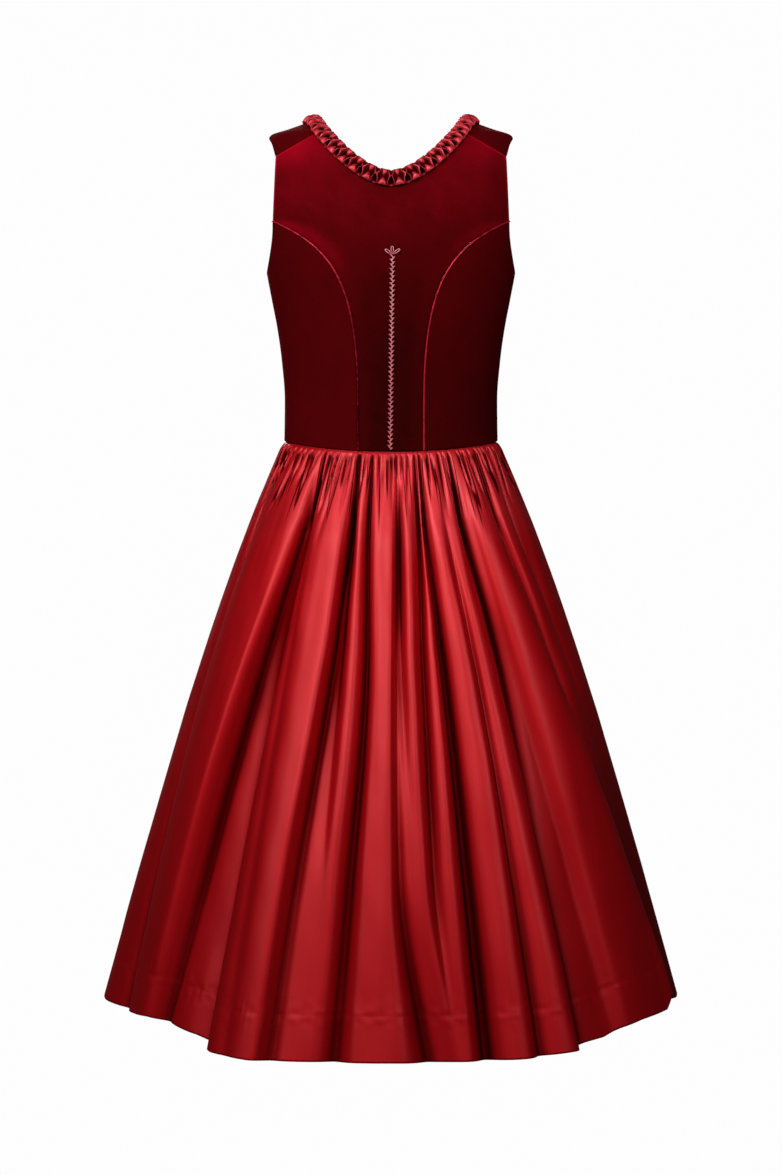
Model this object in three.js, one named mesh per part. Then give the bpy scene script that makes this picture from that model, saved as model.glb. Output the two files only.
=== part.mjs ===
// A sleeveless dirndl in its worn shape, hollow, with nobody in it: a velvet bodice cut in seven panels,
// a gathered satin skirt of two widths, a pinched satin ruche round the neck and piping in the curved seams.
// Millimetres, +Z up. The front faces -Y and the wearer's left is +X. The origin lies midway between the two
// shoulder straps, at the height where they rest on the shoulders.
import * as THREE from "three";

// ---- Cloth ----
const velvetWall = 2;
const satinWall = 1.2;
const seamGap = 0.3;

// ---- Figure that the bodice is cut for ----
// Each row is a level section: its half width, and how far it reaches behind and in front of the side seams.
const figure = [
  { z: 13, width: 58, back: 26, front: 27 },
  { z: 8, width: 86.5, back: 33, front: 35 },
  { z: 1.5, width: 105, back: 41, front: 42 },
  { z: -5, width: 123.5, back: 48, front: 49 },
  { z: -11.4, width: 142.5, back: 56, front: 56 },
  { z: -24, width: 151, back: 70, front: 68 },
  { z: -38, width: 154.5, back: 81, front: 78 },
  { z: -60, width: 156, back: 92, front: 88 },
  { z: -110, width: 155, back: 104, front: 104 },
  { z: -145, width: 152.5, back: 106, front: 109 },
  { z: -173, width: 148.1, back: 105, front: 111 },
  { z: -204, width: 142.3, back: 101, front: 110 },
  { z: -240, width: 135.5, back: 96, front: 105 },
  { z: -276, width: 130.6, back: 91, front: 100 },
  { z: -324, width: 127, back: 86, front: 94 },
  { z: -390, width: 128, back: 84, front: 92 },
];
const sectionPower = 2.2;
const cup = { x: 78, z: -192, reachX: 48, reachUp: 50, reachDown: 44, depth: 22 };
const crestPivotZ = -60;

// ---- Bodice outline ----
const waist = { sideZ: -374, dip: 10.6 };
const underarmZ = -173;
const backNeck = { centreZ: -62.5, endX: 76, rise: 56.5, power: 1.75 };
const frontNeck = { centreZ: -168, topZ: -40, halfWidth: 85, power: 2.3 };
const shoulderSeamEnd = { x: 136.5, z: -39 };
const strapCrest = { innerX: 86.5, outerX: 142 };
const backSeam = { waistX: 38.5, bendZ: -326, armholeX: 139.8, armholeZ: -115.5 };
const frontSeam = { waistX: 50, bustX: 84, bustZ: -182, armholeX: 130, armholeZ: -128 };

// ---- Trims ----
const ruche = { width: 19.5, overhang: 1.5, height: 8, clearance: 1.2 };
const piping = { radius: 0.9, lift: 0.3, sides: 6 };

// ---- Skirt ----
const hem = { z: -1045, width: 349, back: 310, front: 302 };
const flare = { spring: 41, rise: 197 };
// Lines that run down the skirt, along the crests and troughs of its folds. Their angles are in degrees from
// the centre back towards the wearer's left, and the relief is how far each stands out of the plain flared
// skirt, in millimetres. Both are given at four shares of the way down. Between two lines the cloth is a wave.
const foldHeights = [0.12, 0.4, 0.7, 1];
const backFolds = [
  { angle: [90, 90, 90, 90], relief: [0, 0, 0, 0] },
  { angle: [72, 73, 74, 75], relief: [-3, -7, -16, -30] },
  { angle: [39.6, 45, 52.7, 58], relief: [5, 8, -2, -17] },
  { angle: [36.6, 41.6, 48.3, 51], relief: [-3, -14, -22, -32] },
  { angle: [34.8, 39, 40.8, 41.4], relief: [-2, -2, 2, -1] },
  { angle: [32.6, 34.6, 33.8, 33.6], relief: [-5, -9, -8, -6] },
  { angle: [29, 30.6, 31, 31], relief: [3, 5, 13, 20] },
  { angle: [15.6, 19.9, 22.5, 23.8], relief: [8, 15, 24, 30] },
  { angle: [13.4, 17.5, 20.4, 21.4], relief: [-8, -9, -3, 4] },
  { angle: [10.6, 11.6, 16, 17.2], relief: [3, 6, 14, 18] },
  { angle: [7.6, 7.2, 9.6, 9.6], relief: [-8, -10, -8, -7] },
  { angle: [5, 4.6, 5, 5], relief: [6, 9, 12, 14] },
  { angle: [-0.2, -0.5, -0.9, -1.2], relief: [8, 13, 15, 16] },
  { angle: [-1.4, -1.6, -2.6, -5], relief: [-2, 2, -7, -9] },
  { angle: [-2.4, -2.6, -4.6, -7.4], relief: [-7, -6, 3, 9] },
  { angle: [-3.6, -3.7, -6, -8.5], relief: [-8, -10, -5, 6] },
  { angle: [-6.7, -6.6, -7.6, -9.6], relief: [8, 12, 13, 13] },
  { angle: [-9.4, -9.3, -9.8, -11.2], relief: [-6, -8, -5, 8] },
  { angle: [-11.4, -12.1, -13.6, -13.6], relief: [3, 9, 14, 14] },
  { angle: [-14.5, -15.6, -17.2, -17.6], relief: [-9, -12, -8, -3] },
  { angle: [-17.9, -21.4, -22.6, -22.6], relief: [5, 13, 19, 26] },
  { angle: [-21.4, -24.4, -25.6, -26], relief: [-3, -5, 2, 9] },
  { angle: [-24.7, -28.2, -29.8, -30.8], relief: [1, 9, 20, 30] },
  { angle: [-29.6, -33.4, -34.1, -34.6], relief: [-10, -9, -1, 8] },
  { angle: [-33.8, -38, -40, -41], relief: [6, 13, 16, 18] },
  { angle: [-44, -48.5, -50.6, -52], relief: [6, 8, 2, -6] },
  { angle: [-50, -53.4, -56.8, -62], relief: [-4, -12, -22, -34] },
  { angle: [-55.5, -60.7, -67, -71], relief: [4, 1, -10, -22] },
  { angle: [-62, -70, -77, -80], relief: [-8, -13, -16, -20] },
  { angle: [-90, -90, -90, -90], relief: [0, 0, 0, 0] },
];
// The front's lines, from the wearer's right to their left: where each starts, how far it drifts round on its
// way to the hem, and its relief there.
const frontFolds = [
  { start: -99, drift: 0, relief: -15 },
  { start: -107, drift: -1, relief: -5 },
  { start: -115, drift: -2, relief: -26 },
  { start: -123, drift: -3, relief: 2 },
  { start: -130, drift: -2, relief: -15 },
  { start: -138, drift: -2, relief: 15 },
  { start: -144, drift: -2, relief: -8 },
  { start: -152, drift: -2, relief: 18 },
  { start: -158, drift: -1, relief: -4 },
  { start: -166, drift: 0, relief: 15 },
  { start: -172, drift: 0, relief: -9 },
  { start: -179, drift: 0, relief: 13 },
  { start: -185, drift: 0, relief: -9 },
  { start: -191, drift: 1, relief: 12 },
  { start: -199, drift: 1, relief: -6 },
  { start: -207, drift: 2, relief: 19 },
  { start: -214, drift: 2, relief: -5 },
  { start: -221, drift: 1, relief: 15 },
  { start: -229, drift: 2, relief: -11 },
  { start: -237, drift: 3, relief: 6 },
  { start: -246, drift: 2, relief: -23 },
  { start: -254, drift: 1, relief: -6 },
  { start: -262, drift: 0, relief: -15 },
];
const frontGrowth = [0.4, 0.75, 0.92, 1];

// ---- Fineness of the facets ----
const seamRows = 14;
/** The cross lines of a front panel dip under the flat of the neck, so that its grid does not fold there. */
const neckDip = { depth: 100, from: 0.2, to: 0.7, crowding: 0.6 };
const backYokeRows = 5;
const frontNeckRows = 8;
const strapRows = 10;
const panelColumns = 5;
const neckColumns = 6;
const sideColumns = 5;
const stepsPerFold = { back: 3, front: 2 };
const skirtLevels = [0, 0.06, 0.16, 0.34, 0.56, 0.78, 1];

const degrees = Math.PI / 180;
const { lerp } = THREE.MathUtils;

/** Cubic through the knots at xs, with slopes that never overshoot a crest or a trough. */
function smoothCurve(xs, ys, x) {
  const last = xs.length - 1;
  let i = 0;
  while (i < last - 1 && x > xs[i + 1]) i += 1;
  const step = (k) => (ys[k + 1] - ys[k]) / (xs[k + 1] - xs[k]);
  const slope = (k) => {
    if (k === 0) return step(0);
    if (k === last) return step(last - 1);
    const before = step(k - 1);
    const after = step(k);
    return before * after <= 0 ? 0 : (2 * before * after) / (before + after);
  };
  const width = xs[i + 1] - xs[i];
  const t = THREE.MathUtils.clamp((x - xs[i]) / width, 0, 1);
  const rise = t * t * (3 - 2 * t);
  const bend = slope(i) * t * (1 - t) * (1 - t) - slope(i + 1) * t * t * (1 - t);
  return lerp(ys[i], ys[i + 1], rise) + width * bend;
}

const figureHeights = figure.map((row) => -row.z);
const figureColumns = Object.fromEntries(
  ["width", "back", "front"].map((name) => [name, figure.map((row) => row[name])]),
);

/** One measure of the figure at a height. */
function measure(name, z) {
  return smoothCurve(figureHeights, figureColumns[name], -z);
}

/** How far the bust lifts the front at a place, given how near the front it is, from 0 at the side to 1. */
function cupLift(x, z, frontness) {
  const across = (Math.abs(x) - cup.x) / cup.reachX;
  const up = (z - cup.z) / (z > cup.z ? cup.reachUp : cup.reachDown);
  const near = THREE.MathUtils.smoothstep(frontness, 0, 0.5);
  return cup.depth * near * Math.exp(-across * across - up * up);
}

/** Depth of the section at x as a share of its depth on the centre line. */
function depthShare(x, z) {
  const across = Math.min(1, Math.abs(x) / measure("width", z));
  return (1 - across ** sectionPower) ** (1 / sectionPower);
}

/** Point of the figure at x, on the back (side 1) or the front (side -1), at a height. */
function onSide(x, z, side) {
  const share = depthShare(x, z);
  if (side > 0) return new THREE.Vector3(x, measure("back", z) * share, z);
  return new THREE.Vector3(x, -measure("front", z) * share - cupLift(x, z, share), z);
}

/**
 * Point of the figure at x and a travel over the shoulder: 0 on the crest, growing down the back and falling
 * down the front. It is an angle in degrees about the pivot line above that line, and 90 plus millimetres below.
 */
function onTorso(x, travel) {
  const side = travel > 0 ? 1 : -1;
  const below = Math.abs(travel) - 90;
  if (below > 0) return onSide(x, crestPivotZ - below, side);
  const depth = side > 0 ? "back" : "front";
  const at = (reach) => [
    Math.abs(reach * Math.sin(travel * degrees)),
    crestPivotZ + reach * Math.cos(travel * degrees),
  ];
  let inside = 0;
  let outside = 160;
  for (let i = 0; i < 40; i += 1) {
    const middle = (inside + outside) / 2;
    const [y, z] = at(middle);
    const within =
      (Math.abs(x) / measure("width", z)) ** sectionPower + (y / measure(depth, z)) ** sectionPower < 1;
    if (within && z < figure[0].z) inside = middle;
    else outside = middle;
  }
  const [y, z] = at(inside);
  return new THREE.Vector3(x, side * y, z);
}

/** Travel of a point that lies near the figure. */
function travelOf(point) {
  const side = point.y > 0 ? 1 : -1;
  if (point.z < crestPivotZ) return side * (90 + crestPivotZ - point.z);
  return Math.atan2(point.y, point.z - crestPivotZ) / degrees;
}

/** Point of the figure at an angle from the centre back, 0 to 180 degrees over the wearer's left. */
function onSection(angle, z) {
  const power = 2 / sectionPower;
  const x = measure("width", z) * Math.abs(Math.sin(angle * degrees)) ** power;
  const share = Math.abs(Math.cos(angle * degrees)) ** power;
  if (angle <= 90) return new THREE.Vector3(x, measure("back", z) * share, z);
  return new THREE.Vector3(x, -measure("front", z) * share - cupLift(x, z, share), z);
}

/** Angle of the section at which the figure is as wide as x. */
function angleAt(x, z, side) {
  const share = Math.min(1, x / measure("width", z));
  const angle = Math.asin(share ** (sectionPower / 2)) / degrees;
  return side > 0 ? angle : 180 - angle;
}

/** Height of the waist seam at an angle: it dips at the centre back and the centre front. */
function waistZ(angle) {
  return waist.sideZ - waist.dip * Math.cos(angle * degrees) ** 2;
}

/** Unit normal of a surface of two parameters, pointing away from the middle of the body. */
function normalOf(surface, a, b, stepA, stepB) {
  const alongA = surface(a + stepA, b).sub(surface(a - stepA, b));
  const alongB = surface(a, b + stepB).sub(surface(a, b - stepB));
  const normal = alongA.cross(alongB).normalize();
  const out = surface(a, b);
  out.z = Math.max(0, out.z - crestPivotZ);
  return normal.dot(out) < 0 ? normal.negate() : normal;
}

/** A node of cloth: its place on the outer face, and the normal there. */
function torsoNode(x, travel) {
  return { at: onTorso(x, travel), normal: normalOf(onTorso, x, travel, 0.5, 0.5) };
}

function sectionNode(angle, z) {
  return { at: onSection(angle, z), normal: normalOf(onSection, angle, z, 0.5, 0.5) };
}

/** Closed mesh from rings of equal length; the ends are capped as fans unless the rings close on themselves. */
function loft(rings) {
  const size = rings[0].length;
  const positions = rings.flat().flatMap((point) => point.toArray());
  const faces = [];
  for (let i = 0; i + 1 < rings.length; i += 1)
    for (let j = 0; j < size; j += 1) {
      const here = i * size + j;
      const next = i * size + ((j + 1) % size);
      faces.push([here, next, here + size], [next, next + size, here + size]);
    }
  const end = (rings.length - 1) * size;
  for (let j = 1; j + 1 < size; j += 1) faces.push([0, j + 1, j], [end, end + j, end + j + 1]);
  return facingOut(positions, faces);
}

/** Geometry of a closed mesh, turned so that its faces point out. */
function facingOut(positions, faces) {
  const corner = (k) => new THREE.Vector3().fromArray(positions, 3 * k);
  let volume = 0;
  for (const [a, b, c] of faces) volume += corner(a).dot(corner(b).cross(corner(c)));
  if (volume < 0) for (const face of faces) face.reverse();
  const geometry = new THREE.BufferGeometry();
  geometry.setAttribute("position", new THREE.Float32BufferAttribute(positions, 3));
  geometry.setIndex(faces.flat());
  geometry.computeVertexNormals();
  return geometry;
}

/** Moves one border of a grid of nodes into the panel. */
function insetBorder(grid, border, inset = seamGap / 2) {
  const rows = grid.length - 1;
  const columns = grid[0].length - 1;
  const upright = border === "first" || border === "last";
  const places = upright ? grid.map((_, i) => i) : grid[0].map((_, j) => j);
  const edge = { first: [null, 0], last: [null, columns], bottom: [0, null], top: [rows, null] }[border];
  const inner = { first: 1, last: columns - 1, bottom: 1, top: rows - 1 }[border];
  const nodeOn = (k) => grid[edge[0] ?? k][edge[1] ?? k];
  const nodeIn = (k) => (upright ? grid[k][inner] : grid[inner][k]);
  const moved = places.map((k) => {
    const before = nodeOn(Math.max(0, k - 1)).at;
    const after = nodeOn(Math.min(places.length - 1, k + 1)).at;
    const run = after.clone().sub(before).normalize();
    const inwards = nodeIn(k).at.clone().sub(nodeOn(k).at);
    inwards.addScaledVector(run, -inwards.dot(run)).normalize();
    return nodeOn(k).at.clone().addScaledVector(inwards, inset);
  });
  places.forEach((k) => nodeOn(k).at.copy(moved[k]));
}

/** A wall of cloth from a grid of nodes on its outer face. */
function clothWall(grid, thickness) {
  const rows = grid.length;
  const columns = grid[0].length;
  const outer = grid.flat().map((node) => node.at);
  const inner = grid.flat().map((node) => node.at.clone().addScaledVector(node.normal, -thickness));
  const positions = [...outer, ...inner].flatMap((point) => point.toArray());
  const shift = outer.length;
  const faces = [];
  const quad = (a, b, c, d) => faces.push([a, b, c], [a, c, d]);
  for (let i = 0; i + 1 < rows; i += 1)
    for (let j = 0; j + 1 < columns; j += 1) {
      const a = i * columns + j;
      quad(a, a + 1, a + columns + 1, a + columns);
      quad(shift + a, shift + a + columns, shift + a + columns + 1, shift + a + 1);
    }
  const rim = [];
  for (let j = 0; j < columns; j += 1) rim.push(j);
  for (let i = 1; i < rows; i += 1) rim.push(i * columns + columns - 1);
  for (let j = columns - 2; j >= 0; j -= 1) rim.push((rows - 1) * columns + j);
  for (let i = rows - 2; i > 0; i -= 1) rim.push(i * columns);
  rim.forEach((a, k) => {
    const b = rim[(k + 1) % rim.length];
    quad(a, shift + a, shift + b, b);
  });
  return facingOut(positions, faces);
}

/** The same grid on the wearer's other side. */
function mirrored(grid) {
  const flip = (v) => new THREE.Vector3(-v.x, v.y, v.z);
  return grid.map((row) => row.map((node) => ({ at: flip(node.at), normal: flip(node.normal) })));
}

// ---- Lines on the cloth, each a list of { x, travel } from the waist upwards ----
const onBack = (x, z) => ({ x, travel: travelOf(onSide(x, z, 1)) });
const onFront = (x, z) => ({ x, travel: travelOf(onSide(x, z, -1)) });

function lineOf(path, count, place) {
  return Array.from({ length: count + 1 }, (_, i) => {
    const point = path.getPointAt(i / count);
    return place(point.x, point.y);
  });
}

function backSeamLine() {
  const { waistX, bendZ, armholeX, armholeZ } = backSeam;
  const start = waistZ(angleAt(waistX, waist.sideZ, 1));
  const path = new THREE.Path().moveTo(waistX, start).lineTo(waistX, bendZ);
  path.bezierCurveTo(waistX, -178, 74, -148, armholeX, armholeZ);
  return lineOf(path, seamRows, onBack);
}

function frontSeamLine() {
  const { waistX, bustX, bustZ, armholeX, armholeZ } = frontSeam;
  const start = waistZ(angleAt(waistX, waist.sideZ, -1));
  const path = new THREE.Path().moveTo(waistX, start);
  path.bezierCurveTo(52, -275, 66, -212, bustX, bustZ);
  path.bezierCurveTo(97, -160, 113, -138, armholeX, armholeZ);
  return lineOf(path, seamRows, onFront);
}

/** Upper edge of the back from its centre: the neck, then the shoulder seam. */
function backTopLine() {
  const { centreZ, endX, rise, power } = backNeck;
  const neck = Array.from({ length: neckColumns + 1 }, (_, i) => {
    const share = i / neckColumns;
    return onBack(endX * share, centreZ + rise * share ** power);
  });
  const from = neck[neckColumns];
  const to = onBack(shoulderSeamEnd.x, shoulderSeamEnd.z);
  const seam = Array.from({ length: panelColumns }, (_, i) => {
    const share = (i + 1) / panelColumns;
    return { x: lerp(from.x, to.x, share), travel: lerp(from.travel, to.travel, share) };
  });
  return [...neck, ...seam];
}

/** Neck edge of the front from its centre to the height of the pivot, then over the strap. */
function frontNeckLine() {
  const { centreZ, topZ, halfWidth, power } = frontNeck;
  const topTurn = Math.asin(((topZ - crestPivotZ) / (topZ - centreZ)) ** (power / 2)) / degrees;
  const scoop = Array.from({ length: frontNeckRows }, (_, i) => {
    const turn = lerp(90, topTurn, i / frontNeckRows) * degrees;
    const x = halfWidth * Math.cos(turn) ** (2 / power);
    return onFront(Math.max(0, x), topZ - (topZ - centreZ) * Math.sin(turn) ** (2 / power));
  });
  const end = backTopPoints[neckColumns];
  const over = new THREE.SplineCurve([
    new THREE.Vector2(halfWidth * Math.cos(topTurn * degrees) ** (2 / power), -90),
    new THREE.Vector2(halfWidth, -45),
    new THREE.Vector2(strapCrest.innerX, 0),
    new THREE.Vector2(end.x, end.travel),
  ]);
  return [...scoop, ...lineOf(over, strapRows, (x, travel) => ({ x, travel }))];
}

/** Armhole edge of the back from its curved seam to the shoulder seam. */
function backArmholeLine(count) {
  const { armholeX, armholeZ } = backSeam;
  return Array.from({ length: count + 1 }, (_, i) => {
    const share = i / count;
    return onBack(lerp(armholeX, shoulderSeamEnd.x, share), lerp(armholeZ, shoulderSeamEnd.z, share));
  });
}

/** Armhole edge of the front from its curved seam over the strap to the shoulder seam. */
function frontArmholeLine(count) {
  const start = onFront(frontSeam.armholeX, frontSeam.armholeZ);
  const end = onBack(shoulderSeamEnd.x, shoulderSeamEnd.z);
  const path = new THREE.SplineCurve([
    new THREE.Vector2(start.x, start.travel),
    new THREE.Vector2(127.5, -110),
    new THREE.Vector2(134, -62),
    new THREE.Vector2(strapCrest.outerX - 1.5, -24),
    new THREE.Vector2(strapCrest.outerX, 8),
    new THREE.Vector2(end.x, end.travel),
  ]);
  return lineOf(path, count, (x, travel) => ({ x, travel }));
}

/** Upright line on the centre of the body, from the waist to the neck edge. */
function centreLine(bottomZ, topZ, place) {
  return Array.from({ length: seamRows + 1 }, (_, i) => place(0, lerp(bottomZ, topZ, i / seamRows)));
}

/** Grid between two lines of equal length, which run up the body; the inner one turns into the neck at its corner. */
function gridBetween(inner, outer, columns, corner) {
  const { smoothstep } = THREE.MathUtils;
  return inner.map((from, i) => {
    const climb = i / (inner.length - 1);
    const dip = smoothstep(climb, neckDip.from, corner) * (1 - smoothstep(climb, corner, neckDip.to));
    return Array.from({ length: columns + 1 }, (_, j) => {
      const share = j / columns;
      const travel = lerp(from.travel, outer[i].travel, share);
      const dipped = travel - neckDip.depth * dip * share * (1 - share);
      return torsoNode(lerp(from.x, outer[i].x, share ** (1 + neckDip.crowding * dip)), dipped);
    });
  });
}

/** Grid of a side panel, from its curved seam to the side seam, under the armhole. */
function sideGrid(seamLine, side) {
  const seam = seamLine.map(({ x, travel }) => {
    const z = crestPivotZ - (Math.abs(travel) - 90);
    return { angle: angleAt(x, z, side), z };
  });
  const tip = seam[seamRows];
  const grid = seam.map((from, i) => {
    const climb = i / seamRows;
    const sideZ = lerp(waist.sideZ, underarmZ, climb);
    return Array.from({ length: sideColumns + 1 }, (_, j) => {
      const across = j / sideColumns;
      const turn = across * 90 * degrees;
      // The armhole's foot is a quarter of an ellipse from the tip of the seam round to the side seam.
      const footAngle = lerp(90, tip.angle, Math.cos(turn));
      const footZ = lerp(tip.z, underarmZ, Math.sin(turn));
      const pull = climb ** 3;
      const angle = lerp(from.angle, 90, across) + pull * (footAngle - lerp(tip.angle, 90, across));
      const z = lerp(from.z, sideZ, across) + pull * (footZ - lerp(tip.z, underarmZ, across));
      const waistFit = (1 - climb) ** 3 * (waistZ(angle) - lerp(seam[0].z, waist.sideZ, across));
      return sectionNode(angle, z + (i < seamRows ? waistFit : 0));
    });
  });
  return grid;
}

// ---- Skirt surface ----
const sideSeam = backFolds.length - 1;
const frontLines = frontFolds.map(({ start, drift, relief }) => ({
  angle: frontGrowth.map((grown) => start + drift * grown),
  relief: frontGrowth.map((grown) => relief * grown),
}));
const closing = { angle: backFolds[0].angle.map((angle) => angle - 360), relief: backFolds[0].relief };
const skirtLines = [...backFolds, ...frontLines, closing];

/** Point of the skirt's outer face: the place counts lines round from the left seam, the drop is 0 to 1. */
function onSkirt(place, drop) {
  const full = waist.sideZ - hem.z;
  const bell = (fall) => flare.spring * (1 - Math.exp(-fall / flare.rise));
  const atWaist = measure("width", waist.sideZ);
  const straight = hem.width - atWaist - bell(full);
  const spread = (straight * drop + bell(full * drop)) / (hem.width - atWaist);
  const count = skirtLines.length - 1;
  const line = THREE.MathUtils.clamp(Math.floor(place), 0, count - 1);
  const [here, next] = [skirtLines[line], skirtLines[line + 1]];
  const wave = (1 - Math.cos((place - line) * Math.PI)) / 2;
  const at = (values) => smoothCurve(foldHeights, values, Math.max(drop, foldHeights[0]));
  const angle = lerp(at(here.angle), at(next.angle), place - line) * degrees;
  const strength = THREE.MathUtils.smoothstep(drop, 0, foldHeights[0]);
  const out = strength * lerp(at(here.relief), at(next.relief), wave);
  const behind = Math.cos(angle) > 0 ? "back" : "front";
  const width = lerp(atWaist, hem.width, spread);
  const depth = lerp(measure(behind, waist.sideZ), hem[behind], spread);
  const power = 2 / lerp(sectionPower, 2, Math.min(1, 3 * drop));
  const x = Math.sign(Math.sin(angle)) * width * Math.abs(Math.sin(angle)) ** power;
  const y = Math.sign(Math.cos(angle)) * depth * Math.abs(Math.cos(angle)) ** power;
  const outwards = new THREE.Vector2(x / width ** 2, y / depth ** 2).normalize();
  const z = lerp(waistZ(angle / degrees) - seamGap, hem.z, drop);
  return new THREE.Vector3(x + out * outwards.x, y + out * outwards.y, z);
}

function skirtGrid(firstLine, lastLine, steps) {
  const columns = (lastLine - firstLine) * steps;
  return skirtLevels.map((drop) =>
    Array.from({ length: columns + 1 }, (_, j) => {
      const place = firstLine + j / steps;
      return { at: onSkirt(place, drop), normal: normalOf(onSkirt, place, drop, 0.05, 0.01) };
    }),
  );
}

// ---- Pieces ----
const velvet = new THREE.MeshStandardMaterial({ name: "velvet", color: 0x5c0410, roughness: 0.9 });
const satin = new THREE.MeshStandardMaterial({ name: "satin", color: 0xa01722, roughness: 0.35 });
const dirndl = new THREE.Group();
dirndl.name = "dirndl";

function addPiece(name, geometry, material) {
  const mesh = new THREE.Mesh(geometry, material);
  mesh.name = name;
  dirndl.add(mesh);
}

/** Adds a panel and its mirror image. */
function addPair(name, grid, material, thickness) {
  addPiece(`${name}_left`, clothWall(grid, thickness), material);
  addPiece(`${name}_right`, clothWall(mirrored(grid), thickness), material);
}

const backSeamPoints = backSeamLine();
const frontSeamPoints = frontSeamLine();
const backTopPoints = backTopLine();
const frontNeckPoints = frontNeckLine();
const waistCentreZ = waistZ(0);
const pipedSeam = piping.radius + seamGap;

/** The panel follows its curved seam and armhole at the sides, and blends from the waist to its upper edge. */
function backCentrePanel() {
  const side = [...backSeamPoints, ...backArmholeLine(backYokeRows).slice(1)];
  const bottomZ = waistZ(angleAt(backSeam.waistX, waist.sideZ, 1));
  const half = side.map(({ x, travel }, i) => {
    const climb = i / (side.length - 1);
    return backTopPoints.map((top) => {
      const share = top.x / shoulderSeamEnd.x;
      const sag = bottomZ - waistZ(angleAt(share * backSeam.waistX, waist.sideZ, 1));
      const rise = top.travel - side.at(-1).travel;
      return torsoNode(x * share, travel + (1 - climb) * sag + climb ** 3 * rise);
    });
  });
  const grid = mirrored(half).map((row, i) => [...row.reverse().slice(0, -1), ...half[i]]);
  for (const border of ["first", "last"]) insetBorder(grid, border, pipedSeam);
  insetBorder(grid, "top");
  addPiece("back_centre", clothWall(grid, velvetWall), velvet);
}

function frontCentrePanels() {
  const inner = [...centreLine(waistCentreZ, frontNeck.centreZ, onFront), ...frontNeckPoints.slice(1)];
  const outer = [...frontSeamPoints, ...frontArmholeLine(frontNeckRows + strapRows).slice(1)];
  const grid = gridBetween(inner, outer, panelColumns, seamRows / (inner.length - 1));
  for (const border of ["first", "last", "top"]) insetBorder(grid, border);
  addPair("front_centre", grid, velvet, velvetWall);
}

function sidePanels() {
  for (const [name, line, side, seam] of [
    ["back_side", backSeamPoints, 1, pipedSeam],
    ["front_side", frontSeamPoints, -1, seamGap / 2],
  ]) {
    const grid = sideGrid(line, side);
    insetBorder(grid, "first", seam);
    insetBorder(grid, "last");
    addPair(name, grid, velvet, velvetWall);
  }
}

/** Ruche on the neck edge: one strip from the centre front round the back to the centre front again. */
function neckRuche() {
  const line = [...frontNeckPoints, ...backTopPoints.slice(0, neckColumns).reverse()];
  const nodes = line.map(({ x, travel }) => torsoNode(x, travel));
  const otherSide = mirrored([nodes.slice(0, -1)])[0].reverse();
  const strip = [...nodes, ...otherSide];
  const drop = (point) => torsoNode(point.x, travelOf(point));
  const rings = strip.map(({ at, normal }, i) => {
    const before = strip[Math.max(0, i - 1)].at;
    const after = strip[Math.min(strip.length - 1, i + 1)].at;
    const ontoPanel = after.clone().sub(before).cross(normal).normalize();
    if (i === 0 || i === strip.length - 1) ontoPanel.set(0, 0, -1);
    const station = (across, height) => {
      const base = drop(at.clone().addScaledVector(ontoPanel, across));
      return base.at.addScaledVector(base.normal, height);
    };
    const edge = at.clone().addScaledVector(ontoPanel, -ruche.overhang);
    const reach = ruche.width - ruche.overhang;
    return [
      edge.clone().addScaledVector(normal, ruche.clearance),
      edge.clone().addScaledVector(normal, ruche.height * 0.6),
      station(ruche.width * 0.2, ruche.height),
      station(ruche.width * 0.65, ruche.height),
      station(reach, ruche.height * 0.5),
      station(reach, ruche.clearance),
      station(reach / 2, ruche.clearance),
    ];
  });
  for (const point of [...rings[0], ...rings.at(-1)]) {
    const side = rings[0].includes(point) ? 1 : -1;
    point.x = side * (seamGap / 2);
  }
  addPiece("neck_ruche", loft(rings), satin);
}

/** Round piping in a curved seam, and its mirror image. */
function seamPiping(name, line) {
  const nodes = line.map(({ x, travel }) => torsoNode(x, travel));
  const rings = nodes.map(({ at, normal }, i) => {
    const before = nodes[Math.max(0, i - 1)].at;
    const after = nodes[Math.min(nodes.length - 1, i + 1)].at;
    const across = after.clone().sub(before).cross(normal).normalize();
    const centre = at.clone().addScaledVector(normal, piping.lift);
    return Array.from({ length: piping.sides }, (_, k) => {
      const turn = (k / piping.sides) * 2 * Math.PI;
      const rim = centre.clone().addScaledVector(across, piping.radius * Math.cos(turn));
      return rim.addScaledVector(normal, piping.radius * Math.sin(turn));
    });
  });
  addPiece(`${name}_left`, loft(rings), satin);
  const flipped = rings.map((ring) => ring.map((v) => new THREE.Vector3(-v.x, v.y, v.z)));
  addPiece(`${name}_right`, loft(flipped), satin);
}

function skirtPanels() {
  for (const [name, from, to, steps] of [
    ["skirt_back", 0, sideSeam, stepsPerFold.back],
    ["skirt_front", sideSeam, skirtLines.length - 1, stepsPerFold.front],
  ]) {
    const grid = skirtGrid(from, to, steps);
    for (const border of ["first", "last"]) insetBorder(grid, border);
    addPiece(name, clothWall(grid, satinWall), satin);
  }
}

backCentrePanel();
frontCentrePanels();
sidePanels();
neckRuche();
seamPiping("back_piping", backSeamPoints);
skirtPanels();

export default dirndl;
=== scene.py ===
"""The finished looks of a sleeveless dirndl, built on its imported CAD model.

Tables are in millimetres and degrees, meshes in metres. +Z is up, the back faces +Y and the wearer's
left is +X.
"""

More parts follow.
